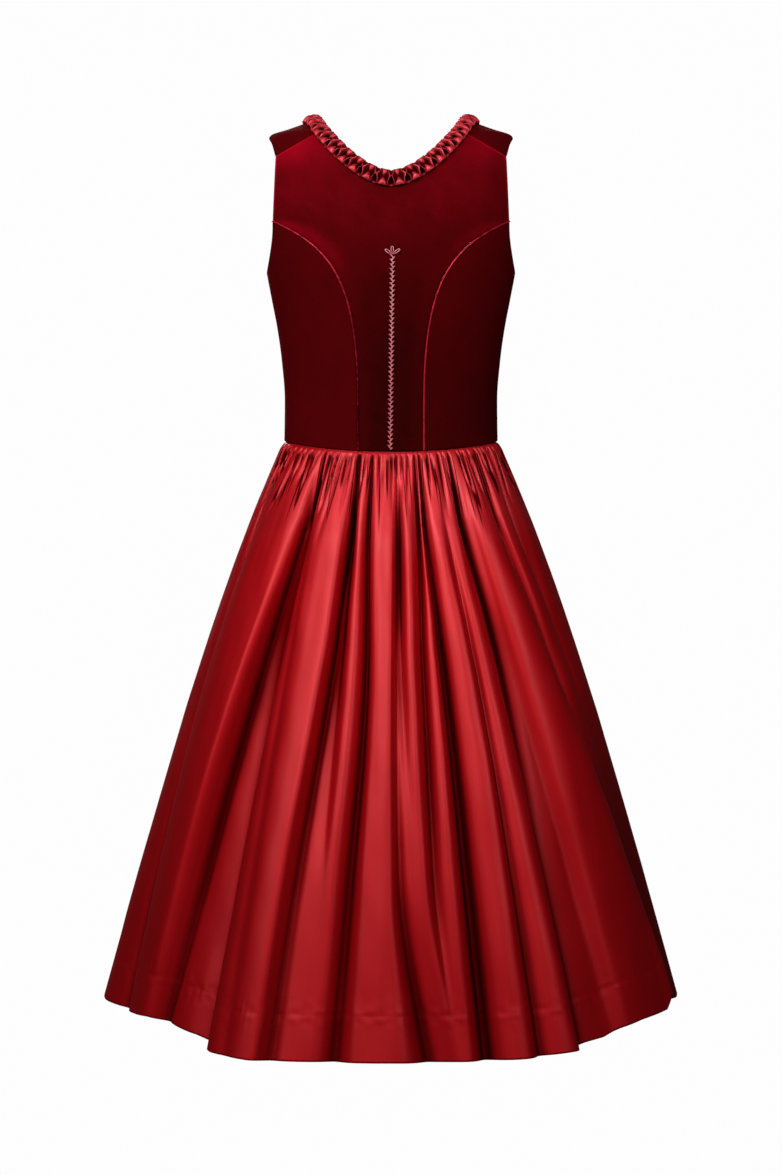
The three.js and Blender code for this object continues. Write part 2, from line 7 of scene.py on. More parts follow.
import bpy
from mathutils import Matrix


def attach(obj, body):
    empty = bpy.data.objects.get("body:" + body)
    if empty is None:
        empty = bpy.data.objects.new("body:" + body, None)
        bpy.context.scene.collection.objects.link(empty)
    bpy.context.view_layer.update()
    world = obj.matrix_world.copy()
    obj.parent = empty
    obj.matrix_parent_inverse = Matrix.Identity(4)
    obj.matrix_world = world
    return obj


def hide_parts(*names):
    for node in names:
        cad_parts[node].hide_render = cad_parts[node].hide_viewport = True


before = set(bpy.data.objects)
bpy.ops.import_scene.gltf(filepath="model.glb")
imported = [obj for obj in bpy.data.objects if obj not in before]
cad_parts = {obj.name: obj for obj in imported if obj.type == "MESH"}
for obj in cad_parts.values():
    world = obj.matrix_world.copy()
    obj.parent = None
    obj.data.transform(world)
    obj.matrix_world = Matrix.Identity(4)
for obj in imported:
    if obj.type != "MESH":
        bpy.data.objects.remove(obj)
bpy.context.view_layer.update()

import logging
import math
from dataclasses import dataclass, field
from enum import Enum
from typing import Any, Callable, NamedTuple, Sequence

import bmesh
import bpy
import numpy as np

log = logging.getLogger("dirndl")
MM = 0.001
BODY = "root"
SEAM_GAP = 0.3
CURVE_STEPS = 200
Array = np.ndarray
Piece = bpy.types.Object
Finish = bpy.types.Material
Pair = tuple[float, float]
Triple = tuple[float, float, float]
Colour = tuple[float, float, float]
Row = tuple[float, ...]
Path = tuple[Pair, ...]
Surface = Callable[[Array, Array], Array]
Line = Callable[[Array], Array]


# ---- Curves ----
def smooth_curve(xs: Sequence[float], ys: Any, x: Any) -> Array:
    """Cubic through knots that never overshoots a crest or a trough.

    Args:
        xs: Places of the knots, rising.
        ys: Values at the knots.
        x: Places where the curve is wanted.

    Returns:
        The values at those places.
    """
    xs, ys = np.asarray(xs, float), np.asarray(ys, float)
    step = np.diff(ys) / np.diff(xs)
    product, total = step[:-1] * step[1:], step[:-1] + step[1:]
    inner = np.where(product > 0, 2 * product / np.where(total == 0, 1, total), 0)
    slope = np.concatenate([step[:1], inner, step[-1:]])
    i = np.clip(np.searchsorted(xs, x) - 1, 0, len(xs) - 2)
    width = xs[i + 1] - xs[i]
    t = np.clip((x - xs[i]) / width, 0, 1)
    bend = slope[i] * t * (1 - t) ** 2 - slope[i + 1] * t * t * (1 - t)
    return ys[i] + (ys[i + 1] - ys[i]) * t * t * (3 - 2 * t) + width * bend


def lerp(a: Any, b: Any, t: Any) -> Any:
    """Straight blend from a to b."""
    return a + (b - a) * t


def smoothstep(x: Any, low: float, high: float) -> Array:
    """0 up to low, 1 from high, and smooth between."""
    t = np.clip((x - low) / (high - low), 0, 1)
    return t * t * (3 - 2 * t)


def unit(v: Array) -> Array:
    """Vectors along the last axis, at length 1."""
    return v / np.maximum(np.linalg.norm(v, axis=-1, keepdims=True), 1e-12)


def evenly(points: Array) -> Line:
    """Line through dense points, as a function of the share of its length."""
    run = np.concatenate([[0], np.cumsum(np.linalg.norm(np.diff(points, axis=0), axis=1))])
    return lambda t: np.stack([np.interp(t, run / run[-1], column) for column in points.T], -1)


def catmull(knots: Array, steps: int = 60) -> Array:
    """Dense points of a uniform Catmull-Rom curve through knots.

    Args:
        knots: Points that the curve goes through, in order.
        steps: Points from one knot to the next.

    Returns:
        The points, down to the last knot.
    """
    padded = np.vstack([knots[:1], knots, knots[-1:]])
    t = np.linspace(0, 1, steps, endpoint=False)[:, None]
    parts = []
    for a, b, c, d in zip(padded, padded[1:], padded[2:], padded[3:]):
        rise, fall = (c - a) / 2, (d - b) / 2
        parts.append(
            (2 * b - 2 * c + rise + fall) * t**3 + (3 * c - 3 * b - 2 * rise - fall) * t**2 + rise * t + b
        )
    return np.vstack([*parts, knots[-1:]])


def bezier(a: Sequence[float], b: Sequence[float], c: Sequence[float], d: Sequence[float]) -> Array:
    """Dense points of a cubic Bezier curve.

    Args:
        a: Where the curve starts.
        b: What it heads for from there.
        c: What it comes from at its end.
        d: Where it ends.

    Returns:
        The points.
    """
    t = np.linspace(0, 1, CURVE_STEPS)[:, None]
    a, b, c, d = (np.asarray(p, float) for p in (a, b, c, d))
    return a * (1 - t) ** 3 + 3 * b * t * (1 - t) ** 2 + 3 * c * t * t * (1 - t) + d * t**3


def crowded(count: int, low: float = 0, high: float = 1, crowding: float = 0.8) -> Array:
    """Shares from low to high in count steps, set closer together near both ends."""
    u = np.linspace(0, 1, count + 1)
    return lerp(low, high, u - crowding * np.sin(2 * math.pi * u) / (2 * math.pi))


@dataclass(frozen=True)
class Ripple:
    """Smooth noise made of waves: lengths in two directions, a height and a seed."""

    along: float
    across: float
    height: float
    seed: int
    waves: int = 14

    def at(self, u: Array, v: Array) -> Array:
        """Height of the noise at places measured along and across.

        Args:
            u: Distances along.
            v: Distances across.

        Returns:
            The heights.
        """
        draw = np.random.default_rng(self.seed)
        total = np.zeros(np.broadcast(u, v).shape)
        for _ in range(self.waves):
            a, b = draw.normal(size=2)
            total += np.sin(2 * math.pi * (a * u / self.along + b * v / self.across) + draw.uniform(0, 6.3))
        return self.height * total / math.sqrt(self.waves / 2)


# ---- The figure that the bodice is cut for ----
@dataclass(frozen=True)
class Figure:
    """Level sections of a general figure and the surfaces through them."""

    z: Row = (13, 8, 1.5, -5, -11.4, -24, -38, -60, -110, -145, -173, -204, -240, -276, -324, -390)
    width: Row = (
        58, 86.5, 105, 123.5, 142.5, 151, 154.5, 156, 155, 152.5, 148.1, 142.3, 135.5, 130.6, 127, 128,
    )
    back: Row = (26, 33, 41, 48, 56, 70, 81, 92, 104, 106, 105, 101, 96, 91, 86, 84)
    front: Row = (27, 35, 42, 49, 56, 68, 78, 88, 104, 109, 111, 110, 105, 100, 94, 92)
    power: float = 2.2
    pivot_z: float = -60
    cup_x: float = 78
    cup_z: float = -192
    cup_reach: Triple = (48, 50, 44)
    cup_depth: float = 22
    outside: float = 160.0
    halvings: int = 36

    def measure(self, name: str, z: Any) -> Array:
        """One measure of the figure at heights."""
        return smooth_curve([-h for h in self.z], getattr(self, name), -np.asarray(z, float))

    def cup_lift(self, x: Array, z: Array, share: Array) -> Array:
        """How far the cups lift the front.

        Args:
            x: Distances from the middle.
            z: Heights.
            share: Depth of the section there, as a share of its greatest.

        Returns:
            The lift in millimetres.
        """
        wide, up, down = self.cup_reach
        across = (np.abs(x) - self.cup_x) / wide
        rise = (z - self.cup_z) / np.where(z > self.cup_z, up, down)
        return self.cup_depth * smoothstep(share, 0, 0.5) * np.exp(-across * across - rise * rise)

    def on_side(self, x: Any, z: Any, side: Any) -> Array:
        """Points of the back or the front.

        Args:
            x: Distances from the middle, where the wearer's left is positive.
            z: Heights.
            side: 1 for the back, -1 for the front.

        Returns:
            The points.
        """
        x, z, side = np.broadcast_arrays(np.asarray(x, float), np.asarray(z, float), side)
        across = np.minimum(1, np.abs(x) / self.measure("width", z))
        share = (1 - across**self.power) ** (1 / self.power)
        behind = self.measure("back", z) * share
        ahead = -self.measure("front", z) * share - self.cup_lift(x, z, share)
        return np.stack([x, np.where(side > 0, behind, ahead), z], -1)

    def on_torso(self, x: Any, travel: Any) -> Array:
        """Points of the back, the shoulders and the front, by how far over the shoulder they lie.

        Args:
            x: Distances from the middle.
            travel: 0 on the crest, growing down the back and falling down the front: degrees about the
                pivot line as far as 90, and millimetres below it after that.

        Returns:
            The points.
        """
        x, travel = np.broadcast_arrays(np.asarray(x, float), np.asarray(travel, float))
        side = np.where(travel > 0, 1.0, -1.0)
        sine, cosine = np.sin(np.radians(travel)), np.cos(np.radians(travel))
        inside, outside = np.zeros(x.shape), np.full(x.shape, self.outside)
        for _ in range(self.halvings):
            middle = (inside + outside) / 2
            y, z = np.abs(middle * sine), self.pivot_z + middle * cosine
            depth = np.where(side > 0, self.measure("back", z), self.measure("front", z))
            reach = (np.abs(x) / self.measure("width", z)) ** self.power + (y / depth) ** self.power
            within = (reach < 1) & (z < self.z[0])
            inside, outside = np.where(within, middle, inside), np.where(within, outside, middle)
        over = np.stack([x, side * np.abs(inside * sine), self.pivot_z + inside * cosine], -1)
        below = np.abs(travel) - 90
        return np.where((below > 0)[..., None], self.on_side(x, self.pivot_z - below, side), over)

    def travel_of(self, points: Array) -> Array:
        """Travel over the shoulder.

        Args:
            points: Points that lie near the figure.

        Returns:
            Their travel, as on_torso takes it.
        """
        y, z = points[..., 1], points[..., 2]
        turn = np.degrees(np.arctan2(y, z - self.pivot_z))
        return np.where(z < self.pivot_z, np.where(y > 0, 1, -1) * (90 + self.pivot_z - z), turn)

    def on_section(self, angle: Any, z: Any) -> Array:
        """Points of the figure's level sections.

        Args:
            angle: Degrees from the centre back, 0 to 180 over the wearer's left.
            z: Heights.

        Returns:
            The points.
        """
        turn = np.radians(angle)
        x = self.measure("width", z) * np.abs(np.sin(turn)) ** (2 / self.power)
        share = np.abs(np.cos(turn)) ** (2 / self.power)
        ahead = -self.measure("front", z) * share - self.cup_lift(x, z, share)
        y = np.where(np.asarray(angle) <= 90, self.measure("back", z) * share, ahead)
        return np.stack([x, y, np.broadcast_to(z, x.shape)], -1)

    def angle_at(self, x: Any, z: Any, side: int) -> Array:
        """Angle of the section at which the figure is as wide as x.

        Args:
            x: Half widths.
            z: Heights.
            side: 1 for the back, -1 for the front.

        Returns:
            The angles in degrees.
        """
        share = np.minimum(1, np.abs(x) / self.measure("width", z))
        angle = np.degrees(np.arcsin(share ** (self.power / 2)))
        return angle if side > 0 else 180 - angle

    def normals(self, surface: Surface, a: Array, b: Array, step: float = 0.6) -> Array:
        """Normals of a surface.

        Args:
            surface: One of the figure's surfaces.
            a: What it takes first.
            b: What it takes second.
            step: How far off the neighbours are that give the slope.

        Returns:
            Unit normals that point away from the body.
        """
        along = surface(a + step, b) - surface(a - step, b)
        normal = unit(np.cross(along, surface(a, b + step) - surface(a, b - step)))
        out = surface(a, b)
        out[..., 2] = np.maximum(0, out[..., 2] - self.pivot_z)
        return np.where((normal * out).sum(-1, keepdims=True) < 0, -normal, normal)


FIGURE = Figure()


# ---- Meshes ----
class Border(Enum):
    """What happens to the cloth at one border of a panel."""

    SEAM = "turned in to a seam"
    PIPED = "turned in beside piping"
    EDGE = "a turned free edge"
    FLUSH = "left flat"


# How wide and how deep the cloth turns in at a border.
TURNS = {Border.SEAM: (2.4, 0.8), Border.PIPED: (2.6, 0.8), Border.EDGE: (1.8, 1.8)}
# How far a moved border pushes the cloth together, as a multiple of the move.
PUSH = 4


@dataclass
class Sheet:
    """A grid of cloth: the points and normals of its outer face, and its inner face where that differs."""

    points: Array
    normals: Array
    extra: dict[str, Array] = field(default_factory=dict)
    lining: Array | None = None

    def lengths(self) -> tuple[Array, Array]:
        """Distances along the rows and up the columns, from the first of each.

        Returns:
            Both distances of each point.
        """
        p = self.points
        rows = np.linalg.norm(np.diff(p, axis=1), axis=-1)
        columns = np.linalg.norm(np.diff(p, axis=0), axis=-1)
        along = np.concatenate([np.zeros((p.shape[0], 1)), np.cumsum(rows, 1)], 1)
        up = np.concatenate([np.zeros((1, p.shape[1])), np.cumsum(columns, 0)], 0)
        return along, up

    def inset(self, border: str, distance: float) -> None:
        """Moves one border into the panel.

        Args:
            border: "first", "last", "bottom" or "top".
            distance: How far it moves.
        """
        p = self.points
        edge, inner = {
            "first": (p[:, 0], p[:, 1:]), "last": (p[:, -1], p[:, -2::-1]),
            "bottom": (p[0], p[1:].transpose(1, 0, 2)), "top": (p[-1], p[-2::-1].transpose(1, 0, 2)),
        }[border]
        run = unit(np.gradient(edge, axis=0))
        gap = inner - edge[:, None]
        inwards = gap - (gap * run[:, None]).sum(-1, keepdims=True) * run[:, None]
        reach = np.linalg.norm(inwards, axis=-1)
        pull = distance * np.clip(1 - reach / (PUSH * distance), 0, 1)
        first = unit(inwards[:, 0])
        inner += pull[..., None] * first[:, None]
        edge += distance * first

    def roll(self, borders: dict[str, Border]) -> None:
        """Turns the cloth in along its borders.

        Args:
            borders: What happens at each border, by its name.
        """
        along, up = self.lengths()
        away = {"first": along, "last": along[:, -1:] - along, "bottom": up, "top": up[-1:] - up}
        drop = np.zeros(along.shape)
        for name, kind in borders.items():
            if kind is Border.FLUSH:
                continue
            width, depth = TURNS[kind]
            near = np.clip(1 - away[name] / width, 0, 1)
            fall = depth * near**2 if kind is not Border.EDGE else depth * (1 - np.sqrt(1 - near**2))
            drop = np.maximum(drop, fall)
        self.points = self.points - drop[..., None] * self.normals

    def mirrored(self) -> "Sheet":
        """The same cloth on the wearer's other side."""
        flip = np.array([-1.0, 1.0, 1.0])
        return Sheet(self.points * flip, self.normals * flip, dict(self.extra))


def face_grid(rows: int, columns: int) -> Array:
    """Quads of a grid of vertices that are numbered row by row."""
    a = (np.arange(rows - 1)[:, None] * columns + np.arange(columns - 1)).ravel()
    return np.stack([a, a + 1, a + columns + 1, a + columns], -1)


def rim_of(rows: int, columns: int) -> Array:
    """Vertices round the border of a grid, in order.

    Args:
        rows: Rows of the grid.
        columns: Columns of the grid.

    Returns:
        The numbers of the vertices.
    """
    last = (rows - 1) * columns
    return np.concatenate([
        np.arange(columns), np.arange(1, rows) * columns + columns - 1,
        last + np.arange(columns - 2, -1, -1), np.arange(rows - 2, 0, -1) * columns,
    ])


def make_object(
    name: str,
    points: Array,
    faces: Sequence[Array],
    materials: Sequence[Finish],
    slots: Sequence[int] = (),
    uv: Array | None = None,
    extra: dict[str, Array] | None = None,
) -> Piece:
    """Makes a smooth mesh object at the origin, from points in millimetres.

    Args:
        name: Name of the piece.
        points: Vertices.
        faces: Groups of faces; those of one group have the same number of corners.
        materials: Finishes of the piece.
        slots: Which finish each group has; the first one where it is left out.
        uv: Place of each vertex in the flat cut, in metres.
        extra: Numbers kept on the vertices, by name.

    Returns:
        The new object.
    """
    mesh = bpy.data.meshes.new(name)
    mesh.from_pydata((points * MM).tolist(), [], [face for group in faces for face in group.tolist()])
    for material in materials:
        mesh.materials.append(material)
    if slots:
        kept = np.concatenate([np.full(len(group), slot) for group, slot in zip(faces, slots)])
        mesh.polygons.foreach_set("material_index", kept.astype(np.int32))
    if uv is not None:
        corners = np.concatenate([group.ravel() for group in faces])
        layer = mesh.uv_layers.new(name="cloth")
        layer.data.foreach_set("uv", uv[corners].astype(np.float32).ravel())
    for key, values in (extra or {}).items():
        attribute = mesh.attributes.new(key, "FLOAT", "POINT")
        attribute.data.foreach_set("value", values.astype(np.float32).ravel())
    mesh.polygons.foreach_set("use_smooth", np.ones(len(mesh.polygons), bool))
    mesh.update()
    made = bpy.data.objects.new(name, mesh)
    bpy.context.scene.collection.objects.link(made)
    return made


def cloth_object(
    name: str, sheet: Sheet, face: Any, reverse: Any, thickness: float, coarse: int = 1
) -> Piece:
    """Makes a closed wall of cloth from a sheet.

    Args:
        name: Name of the piece.
        sheet: Its outer face, in millimetres.
        face: Finish of the outer face and the rim.
        reverse: Finish of the inner face.
        thickness: Thickness of the wall.
        coarse: How many rows and columns of the outer face make one of the inner face.

    Returns:
        The new object.
    """
    rows, columns = sheet.points.shape[:2]
    lining = sheet.points - thickness * sheet.normals if sheet.lining is None else sheet.lining
    lining = lining[::coarse, ::coarse]
    outer, shift = sheet.points.reshape(-1, 3), rows * columns
    front, back = face_grid(rows, columns), face_grid(*lining.shape[:2])[:, ::-1] + shift
    rim, inner_rim = rim_of(rows, columns), rim_of(*lining.shape[:2]) + shift
    steps = [np.roll(rim, -k)[::coarse] for k in range(coarse, 0, -1)]
    wall = np.stack([rim[::coarse], inner_rim, np.roll(inner_rim, -1), *steps], -1)
    groups = [front, back, wall]
    a, b, _, d = front[len(front) // 2]
    if np.cross(outer[b] - outer[a], outer[d] - outer[a]) @ sheet.normals.reshape(-1, 3)[a] < 0:
        groups = [group[:, ::-1] for group in groups]
    flat = np.stack(sheet.lengths(), -1) * MM
    both = [flat.reshape(-1, 2), flat[::coarse, ::coarse].reshape(-1, 2)]
    extra = {
        key: np.concatenate([values.ravel(), values[::coarse, ::coarse].ravel()])
        for key, values in sheet.extra.items()
    }
    points = np.vstack([outer, lining.reshape(-1, 3)])
    return make_object(name, points, groups, [face, reverse], [0, 1, 0], np.vstack(both), extra)


def declare_cloth(piece: Piece, sheet: Sheet) -> None:
    """Logs the size and the area of the cut of a piece of cloth.

    Args:
        piece: The piece, with a wall of two faces.
        sheet: Its cloth, in millimetres.
    """
    along, up = sheet.lengths()
    area = sum(face.area for face in piece.data.polygons) / 2
    flat = (round(float(along[:, -1].max()) * MM, 3), round(float(up[-1].max()) * MM, 3))
    area = min(area, flat[0] * flat[1])
    log.info("%s: cut from %.3f by %.3f m, %.4f square metres", piece.name, *flat, area)


def tube(at: Array, across: Array, normal: Array, radius: Any, sides: int = 12) -> tuple:
    """Vertices and faces of a round bar with closed ends.

    Args:
        at: Middle of each ring.
        across: Unit vectors across the bar.
        normal: Unit vectors across the bar, at right angles to the others.
        radius: Radius, or one for each ring.
        sides: Sides of the bar, an even number.

    Returns:
        The vertices, and the faces in one group.
    """
    turn = np.linspace(0, 2 * math.pi, sides, endpoint=False)[None, :, None]
    radius = np.broadcast_to(radius, len(at))[:, None, None]
    points = at[:, None] + radius * (across[:, None] * np.cos(turn) + normal[:, None] * np.sin(turn))
    a = (np.arange(len(at) - 1)[:, None] * sides + np.arange(sides)).ravel()
    b = np.where(a % sides == sides - 1, a - sides + 1, a + 1)
    cap = np.array([(0, k, k + 1, k + 2) for k in range(1, sides - 2, 2)])
    faces = np.vstack([np.stack([a, b, b + sides, a + sides], -1), cap[:, ::-1], cap + (len(at) - 1) * sides])
    flip = np.cross(points[0, 1] - points[0, 0], points[1, 0] - points[0, 0]) @ across[0]
    return points.reshape(-1, 3), [faces if flip > 0 else faces[:, ::-1]]


def settle(piece: Piece, slot: str, *nodes: str) -> None:
    """Puts a finished piece in place of its CAD nodes.

    Args:
        piece: The piece.
        slot: Not used.
        nodes: Names of the CAD nodes that it stands for.
    """
    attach(piece, BODY)
    if nodes:
        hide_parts(*nodes)
    count = sum(len(face.vertices) - 2 for face in piece.data.polygons)
    log.info("%s: %d triangles", piece.name, count)


# ---- Bodice ----
@dataclass
class Bodice:
    """Seven velvet panels, with piping in the two curved seams of the back."""

    velvet: Finish
    backing: Finish
    satin: Finish
    wall: float = 2
    piping_radius: float = 0.9
    piping_lift: float = -1.0
    piping_depth: float = 2.3
    piping_fill: float = 1.2
    waist_side_z: float = -374
    waist_dip: float = 10.6
    underarm_z: float = -173
    neck_centre_z: float = -62.5
    neck_end_x: float = 76
    neck_rise: float = 56.5
    neck_power: float = 1.75
    front_neck_z: float = -168
    front_neck_top_z: float = -40
    front_neck_half: float = 85
    front_neck_power: float = 2.3
    seam_end: Pair = (136.5, -39)
    crest_x: float = 86.5
    back_seam_waist: Pair = (38.5, -326)
    back_seam_top: Pair = (139.8, -115.5)
    front_seam: Path = ((50, 0), (52, -275), (66, -212), (84, -182), (97, -160), (113, -138), (130, -128))
    armhole_over: Path = ((127.5, -110), (134, -62), (143.5, -24), (145, 8))
    seam_rows: int = 14
    yoke_rows: int = 5
    neck_columns: int = 6
    shoulder_columns: int = 5
    strap_rows: int = 18
    scoop_rows: int = 8
    side_columns: int = 5
    row_crowding: float = 0.55
    fineness: int = 8
    seam_sag: float = 4
    dip: float = 80
    dip_reach: Pair = (0.2, 0.8)
    dip_crowding: float = 0.6
    # Painted shade down the back: its lightness by height, darker further down.
    light_heights: Row = (-385, -330, -250, -200, -150, -130, -105, -85, -45)
    back_light_by_height: Row = (0.09, 0.1, 0.155, 0.26, 0.365, 0.43, 0.5, 0.54, 0.55)
    # Lightness of the back's side panels, low and high, with painted light: the right one darker at the waist
    # and lighter towards the armhole.
    side_nap_and_light: dict[str, Pair] = field(
        default_factory=lambda: {"back_side_left": (0.36, 0.38), "back_side_right": (0.21, 0.42)}
    )
    plain_nap: Pair = (0.34, 0.34)
    # Painted highlight on the shoulders, painted light beside the curved seams, painted shade below the neck,
    # and painted highlight lines along the top and armhole edges.
    shoulder_highlight: Pair = (0.12, 0.36)
    seam_highlight: Pair = (0.05, 0.13)
    neck_shade: float = -0.21
    rim_highlight: Pair = (0.75, 0.4)

    def __post_init__(self) -> None:
        """Works out the lines of the cut, each as a function of the share of its length."""
        x, bend = self.back_seam_waist
        foot = self.waist_z(FIGURE.angle_at(x, self.waist_side_z, 1))
        curve = bezier((x, bend), (x, -178), (74, -148), self.back_seam_top)
        self.back_seam = self.on_cloth(np.vstack([[(x, foot)], curve]), 1)
        a, b, c, d, e, f, g = (np.array(p, float) for p in self.front_seam)
        a[1] = self.waist_z(FIGURE.angle_at(a[0], self.waist_side_z, -1))
        self.front_curve = self.on_cloth(np.vstack([bezier(a, b, c, d), bezier(d, e, f, g)[1:]]), -1)
        share = np.linspace(0, 1, CURVE_STEPS)
        neck_z = self.neck_centre_z + self.neck_rise * share**self.neck_power
        self.back_neck = self.on_cloth(np.stack([self.neck_end_x * share, neck_z], -1), 1, even=False)
        ends = np.array([self.seam_end, self.seam_end])
        self.shoulder_end = self.on_cloth(ends, 1, even=False)(np.zeros(1))[0]

    def waist_z(self, angle: Any) -> Any:
        """Height of the waist seam at an angle."""
        return self.waist_side_z - self.waist_dip * np.cos(np.radians(angle)) ** 2

    def on_cloth(self, points: Array, side: int, even: bool = True) -> Line:
        """Line of x and travel through points of the back or the front.

        Args:
            points: Their x and z.
            side: 1 for the back, -1 for the front.
            even: Whether the line takes equal lengths in equal shares, or goes from point to point in them.

        Returns:
            The line.
        """
        share, known = np.linspace(0, 1, 400), np.linspace(0, 1, len(points))
        run = evenly(points)(share) if even else np.stack([np.interp(share, known, c) for c in points.T], -1)
        travel = FIGURE.travel_of(FIGURE.on_side(run[:, 0], run[:, 1], side))
        line = np.stack([run[:, 0], travel], -1)
        return lambda t: np.stack([np.interp(t, share, column) for column in line.T], -1)

    def joined(self, t: Array, parts: Sequence[tuple[int, Line]]) -> Array:
        """Places on lines laid end to end.

        Args:
            t: Shares of the whole, from 0 to 1.
            parts: The lines and how many rows each one takes up.

        Returns:
            The places.
        """
        total, at, found = sum(rows for rows, _ in parts), 0.0, np.zeros((len(t), 2))
        for rows, line in parts:
            local = (t * total - at) / rows
            found = np.where((local >= -1e-9)[:, None], line(np.clip(local, 0, 1)), found)
            at += rows
        return found

    def armhole_back(self, t: Array) -> Array:
        """Armhole edge of the back, from the curved seam to the shoulder seam."""
        top = np.array(self.back_seam_top)
        return self.on_cloth(np.vstack([top, self.seam_end]), 1)(t)

    def shoulder_seam(self, t: Array) -> Array:
        """Shoulder seam, from the neck outwards."""
        start = self.back_neck(np.array([1.0]))[0]
        return lerp(start, self.shoulder_end, np.asarray(t)[:, None]) + np.stack([0 * t, self.sag(t)], -1)

    def sag(self, t: Array) -> Array:
        """How far the shoulder seam drops behind a straight line, in degrees of travel."""
        return self.seam_sag * np.sin(math.pi * t) ** 0.8

    def front_neck(self, t: Array) -> Array:
        """Neck edge of the front: the scoop, and then over the strap.

        Args:
            t: Shares of it, from the centre front.

        Returns:
            The x and travel of each place.
        """
        top, low, half = self.front_neck_top_z, self.front_neck_z, self.front_neck_half
        power = self.front_neck_power
        turn_end = math.asin(((top - FIGURE.pivot_z) / (top - low)) ** (power / 2))
        turn = np.linspace(math.pi / 2, turn_end, CURVE_STEPS)
        x = half * np.abs(np.cos(turn)) ** (2 / power)
        z = top - (top - low) * np.sin(turn) ** (2 / power)
        scoop = self.on_cloth(np.stack([x, z], -1), -1, even=False)
        end = self.back_neck(np.array([1.0]))[0]
        over = evenly(catmull(np.array([(x[-1], -90), (half, -45), (self.crest_x, 0), end])))
        return self.joined(t, [(self.scoop_rows, scoop), (self.strap_rows - self.scoop_rows, over)])

    def armhole_front(self, t: Array) -> Array:
        """Armhole edge of the front, from the curved seam over the strap to the shoulder seam.

        Args:
            t: Shares of it.

        Returns:
            The x and travel of each place.
        """
        start = self.front_curve(np.array([1.0]))[0]
        return evenly(catmull(np.array([start, *self.armhole_over, self.shoulder_end])))(t)

    def rows(self, *counts: int) -> Array:
        """Shares up a panel whose side is made of lines laid end to end.

        Args:
            counts: How many rows each line has.

        Returns:
            The shares.
        """
        total, at, found = sum(counts), 0, []
        for count in counts:
            shares = crowded(count * self.fineness, at / total, (at + count) / total, self.row_crowding)
            found.append(shares[:-1])
            at += count
        return np.append(np.concatenate(found), 1.0)

    def sheet(self, surface: Surface, a: Array, b: Array) -> Sheet:
        """Cloth on one of the figure's surfaces."""
        return Sheet(surface(a, b), FIGURE.normals(surface, a, b))

    def back_centre(self) -> Sheet:
        """The back in one piece, between the curved seams, the armholes, the shoulders and the neck.

        Returns:
            Its cloth.
        """
        t = self.rows(self.seam_rows, self.yoke_rows)
        side = self.joined(t, [(self.seam_rows, self.back_seam), (self.yoke_rows, self.armhole_back)])
        u = self.rows(self.neck_columns, self.shoulder_columns)
        parts = [(self.neck_columns, self.back_neck), (self.shoulder_columns, self.shoulder_seam)]
        top = self.joined(u, parts)
        waist_x = self.back_seam_waist[0]
        foot = self.waist_z(FIGURE.angle_at(waist_x, self.waist_side_z, 1))
        share = top[:, 0] / self.seam_end[0]
        sag = foot - self.waist_z(FIGURE.angle_at(share * waist_x, self.waist_side_z, 1))
        rise = top[:, 1] - side[-1, 1]
        travel = side[:, 1:] + (1 - t[:, None]) * sag + t[:, None] ** 3 * rise
        half = self.sheet(FIGURE.on_torso, side[:, :1] * share, travel)
        other = half.mirrored()
        whole = Sheet(
            np.concatenate([other.points[:, :0:-1], half.points], 1),
            np.concatenate([other.normals[:, :0:-1], half.normals], 1),
        )
        pipe = self.piping_radius + SEAM_GAP
        whole.inset("first", pipe)
        whole.inset("last", pipe)
        whole.inset("top", SEAM_GAP / 2)
        return whole

    def front_centre(self) -> Sheet:
        """The left front with its strap, from the centre front to the curved seam and the armhole.

        Returns:
            Its cloth.
        """
        t = self.rows(self.seam_rows, self.strap_rows)
        low = self.on_cloth(np.array([(0, self.waist_z(0)), (0, self.front_neck_z)]), -1)
        inner = self.joined(t, [(self.seam_rows, low), (self.strap_rows, self.front_neck)])
        outer = self.joined(t, [(self.seam_rows, self.front_curve), (self.strap_rows, self.armhole_front)])
        u = crowded(self.side_columns * self.fineness)
        corner = self.seam_rows / (self.seam_rows + self.strap_rows)
        start, end = self.dip_reach
        dip = (smoothstep(t, start, corner) * (1 - smoothstep(t, corner, end)))[:, None]
        share = u ** (1 + self.dip_crowding * dip)
        shares = np.stack([share, np.broadcast_to(u, share.shape)], -1)
        places = lerp(inner[:, None], outer[:, None], shares)
        places[..., 1] += smoothstep(t, end, 1)[:, None] * self.sag(u) - self.dip * dip * u * (1 - u)
        sheet = self.sheet(FIGURE.on_torso, places[..., 0], places[..., 1])
        for border in ("first", "last", "top"):
            sheet.inset(border, SEAM_GAP / 2)
        return sheet

    def side(self, seam: Line, side: int, gap: float) -> Sheet:
        """A left side panel, from its curved seam to the side seam, under the armhole.

        Args:
            seam: The curved seam.
            side: 1 for the back, -1 for the front.
            gap: How far the cloth keeps from the curved seam.

        Returns:
            Its cloth.
        """
        t, u = self.rows(self.seam_rows), crowded(self.side_columns * self.fineness)
        x, travel = seam(t).T
        z = FIGURE.pivot_z - (np.abs(travel) - 90)
        angle = FIGURE.angle_at(x, z, side)
        across, climb = u[None], t[:, None]
        turn = across * math.pi / 2
        foot_angle, foot_z = lerp(90, angle[-1], np.cos(turn)), lerp(z[-1], self.underarm_z, np.sin(turn))
        pull = climb**3
        angles = lerp(angle[:, None], 90, across) + pull * (foot_angle - lerp(angle[-1], 90, across))
        side_z = lerp(self.waist_side_z, self.underarm_z, climb)
        heights = lerp(z[:, None], side_z, across) + pull * (foot_z - lerp(z[-1], self.underarm_z, across))
        fit = (1 - climb) ** 3 * (self.waist_z(angles) - lerp(z[0], self.waist_side_z, across))
        sheet = self.sheet(FIGURE.on_section, angles, heights + fit)
        sheet.inset("first", gap)
        sheet.inset("last", SEAM_GAP / 2)
        return sheet

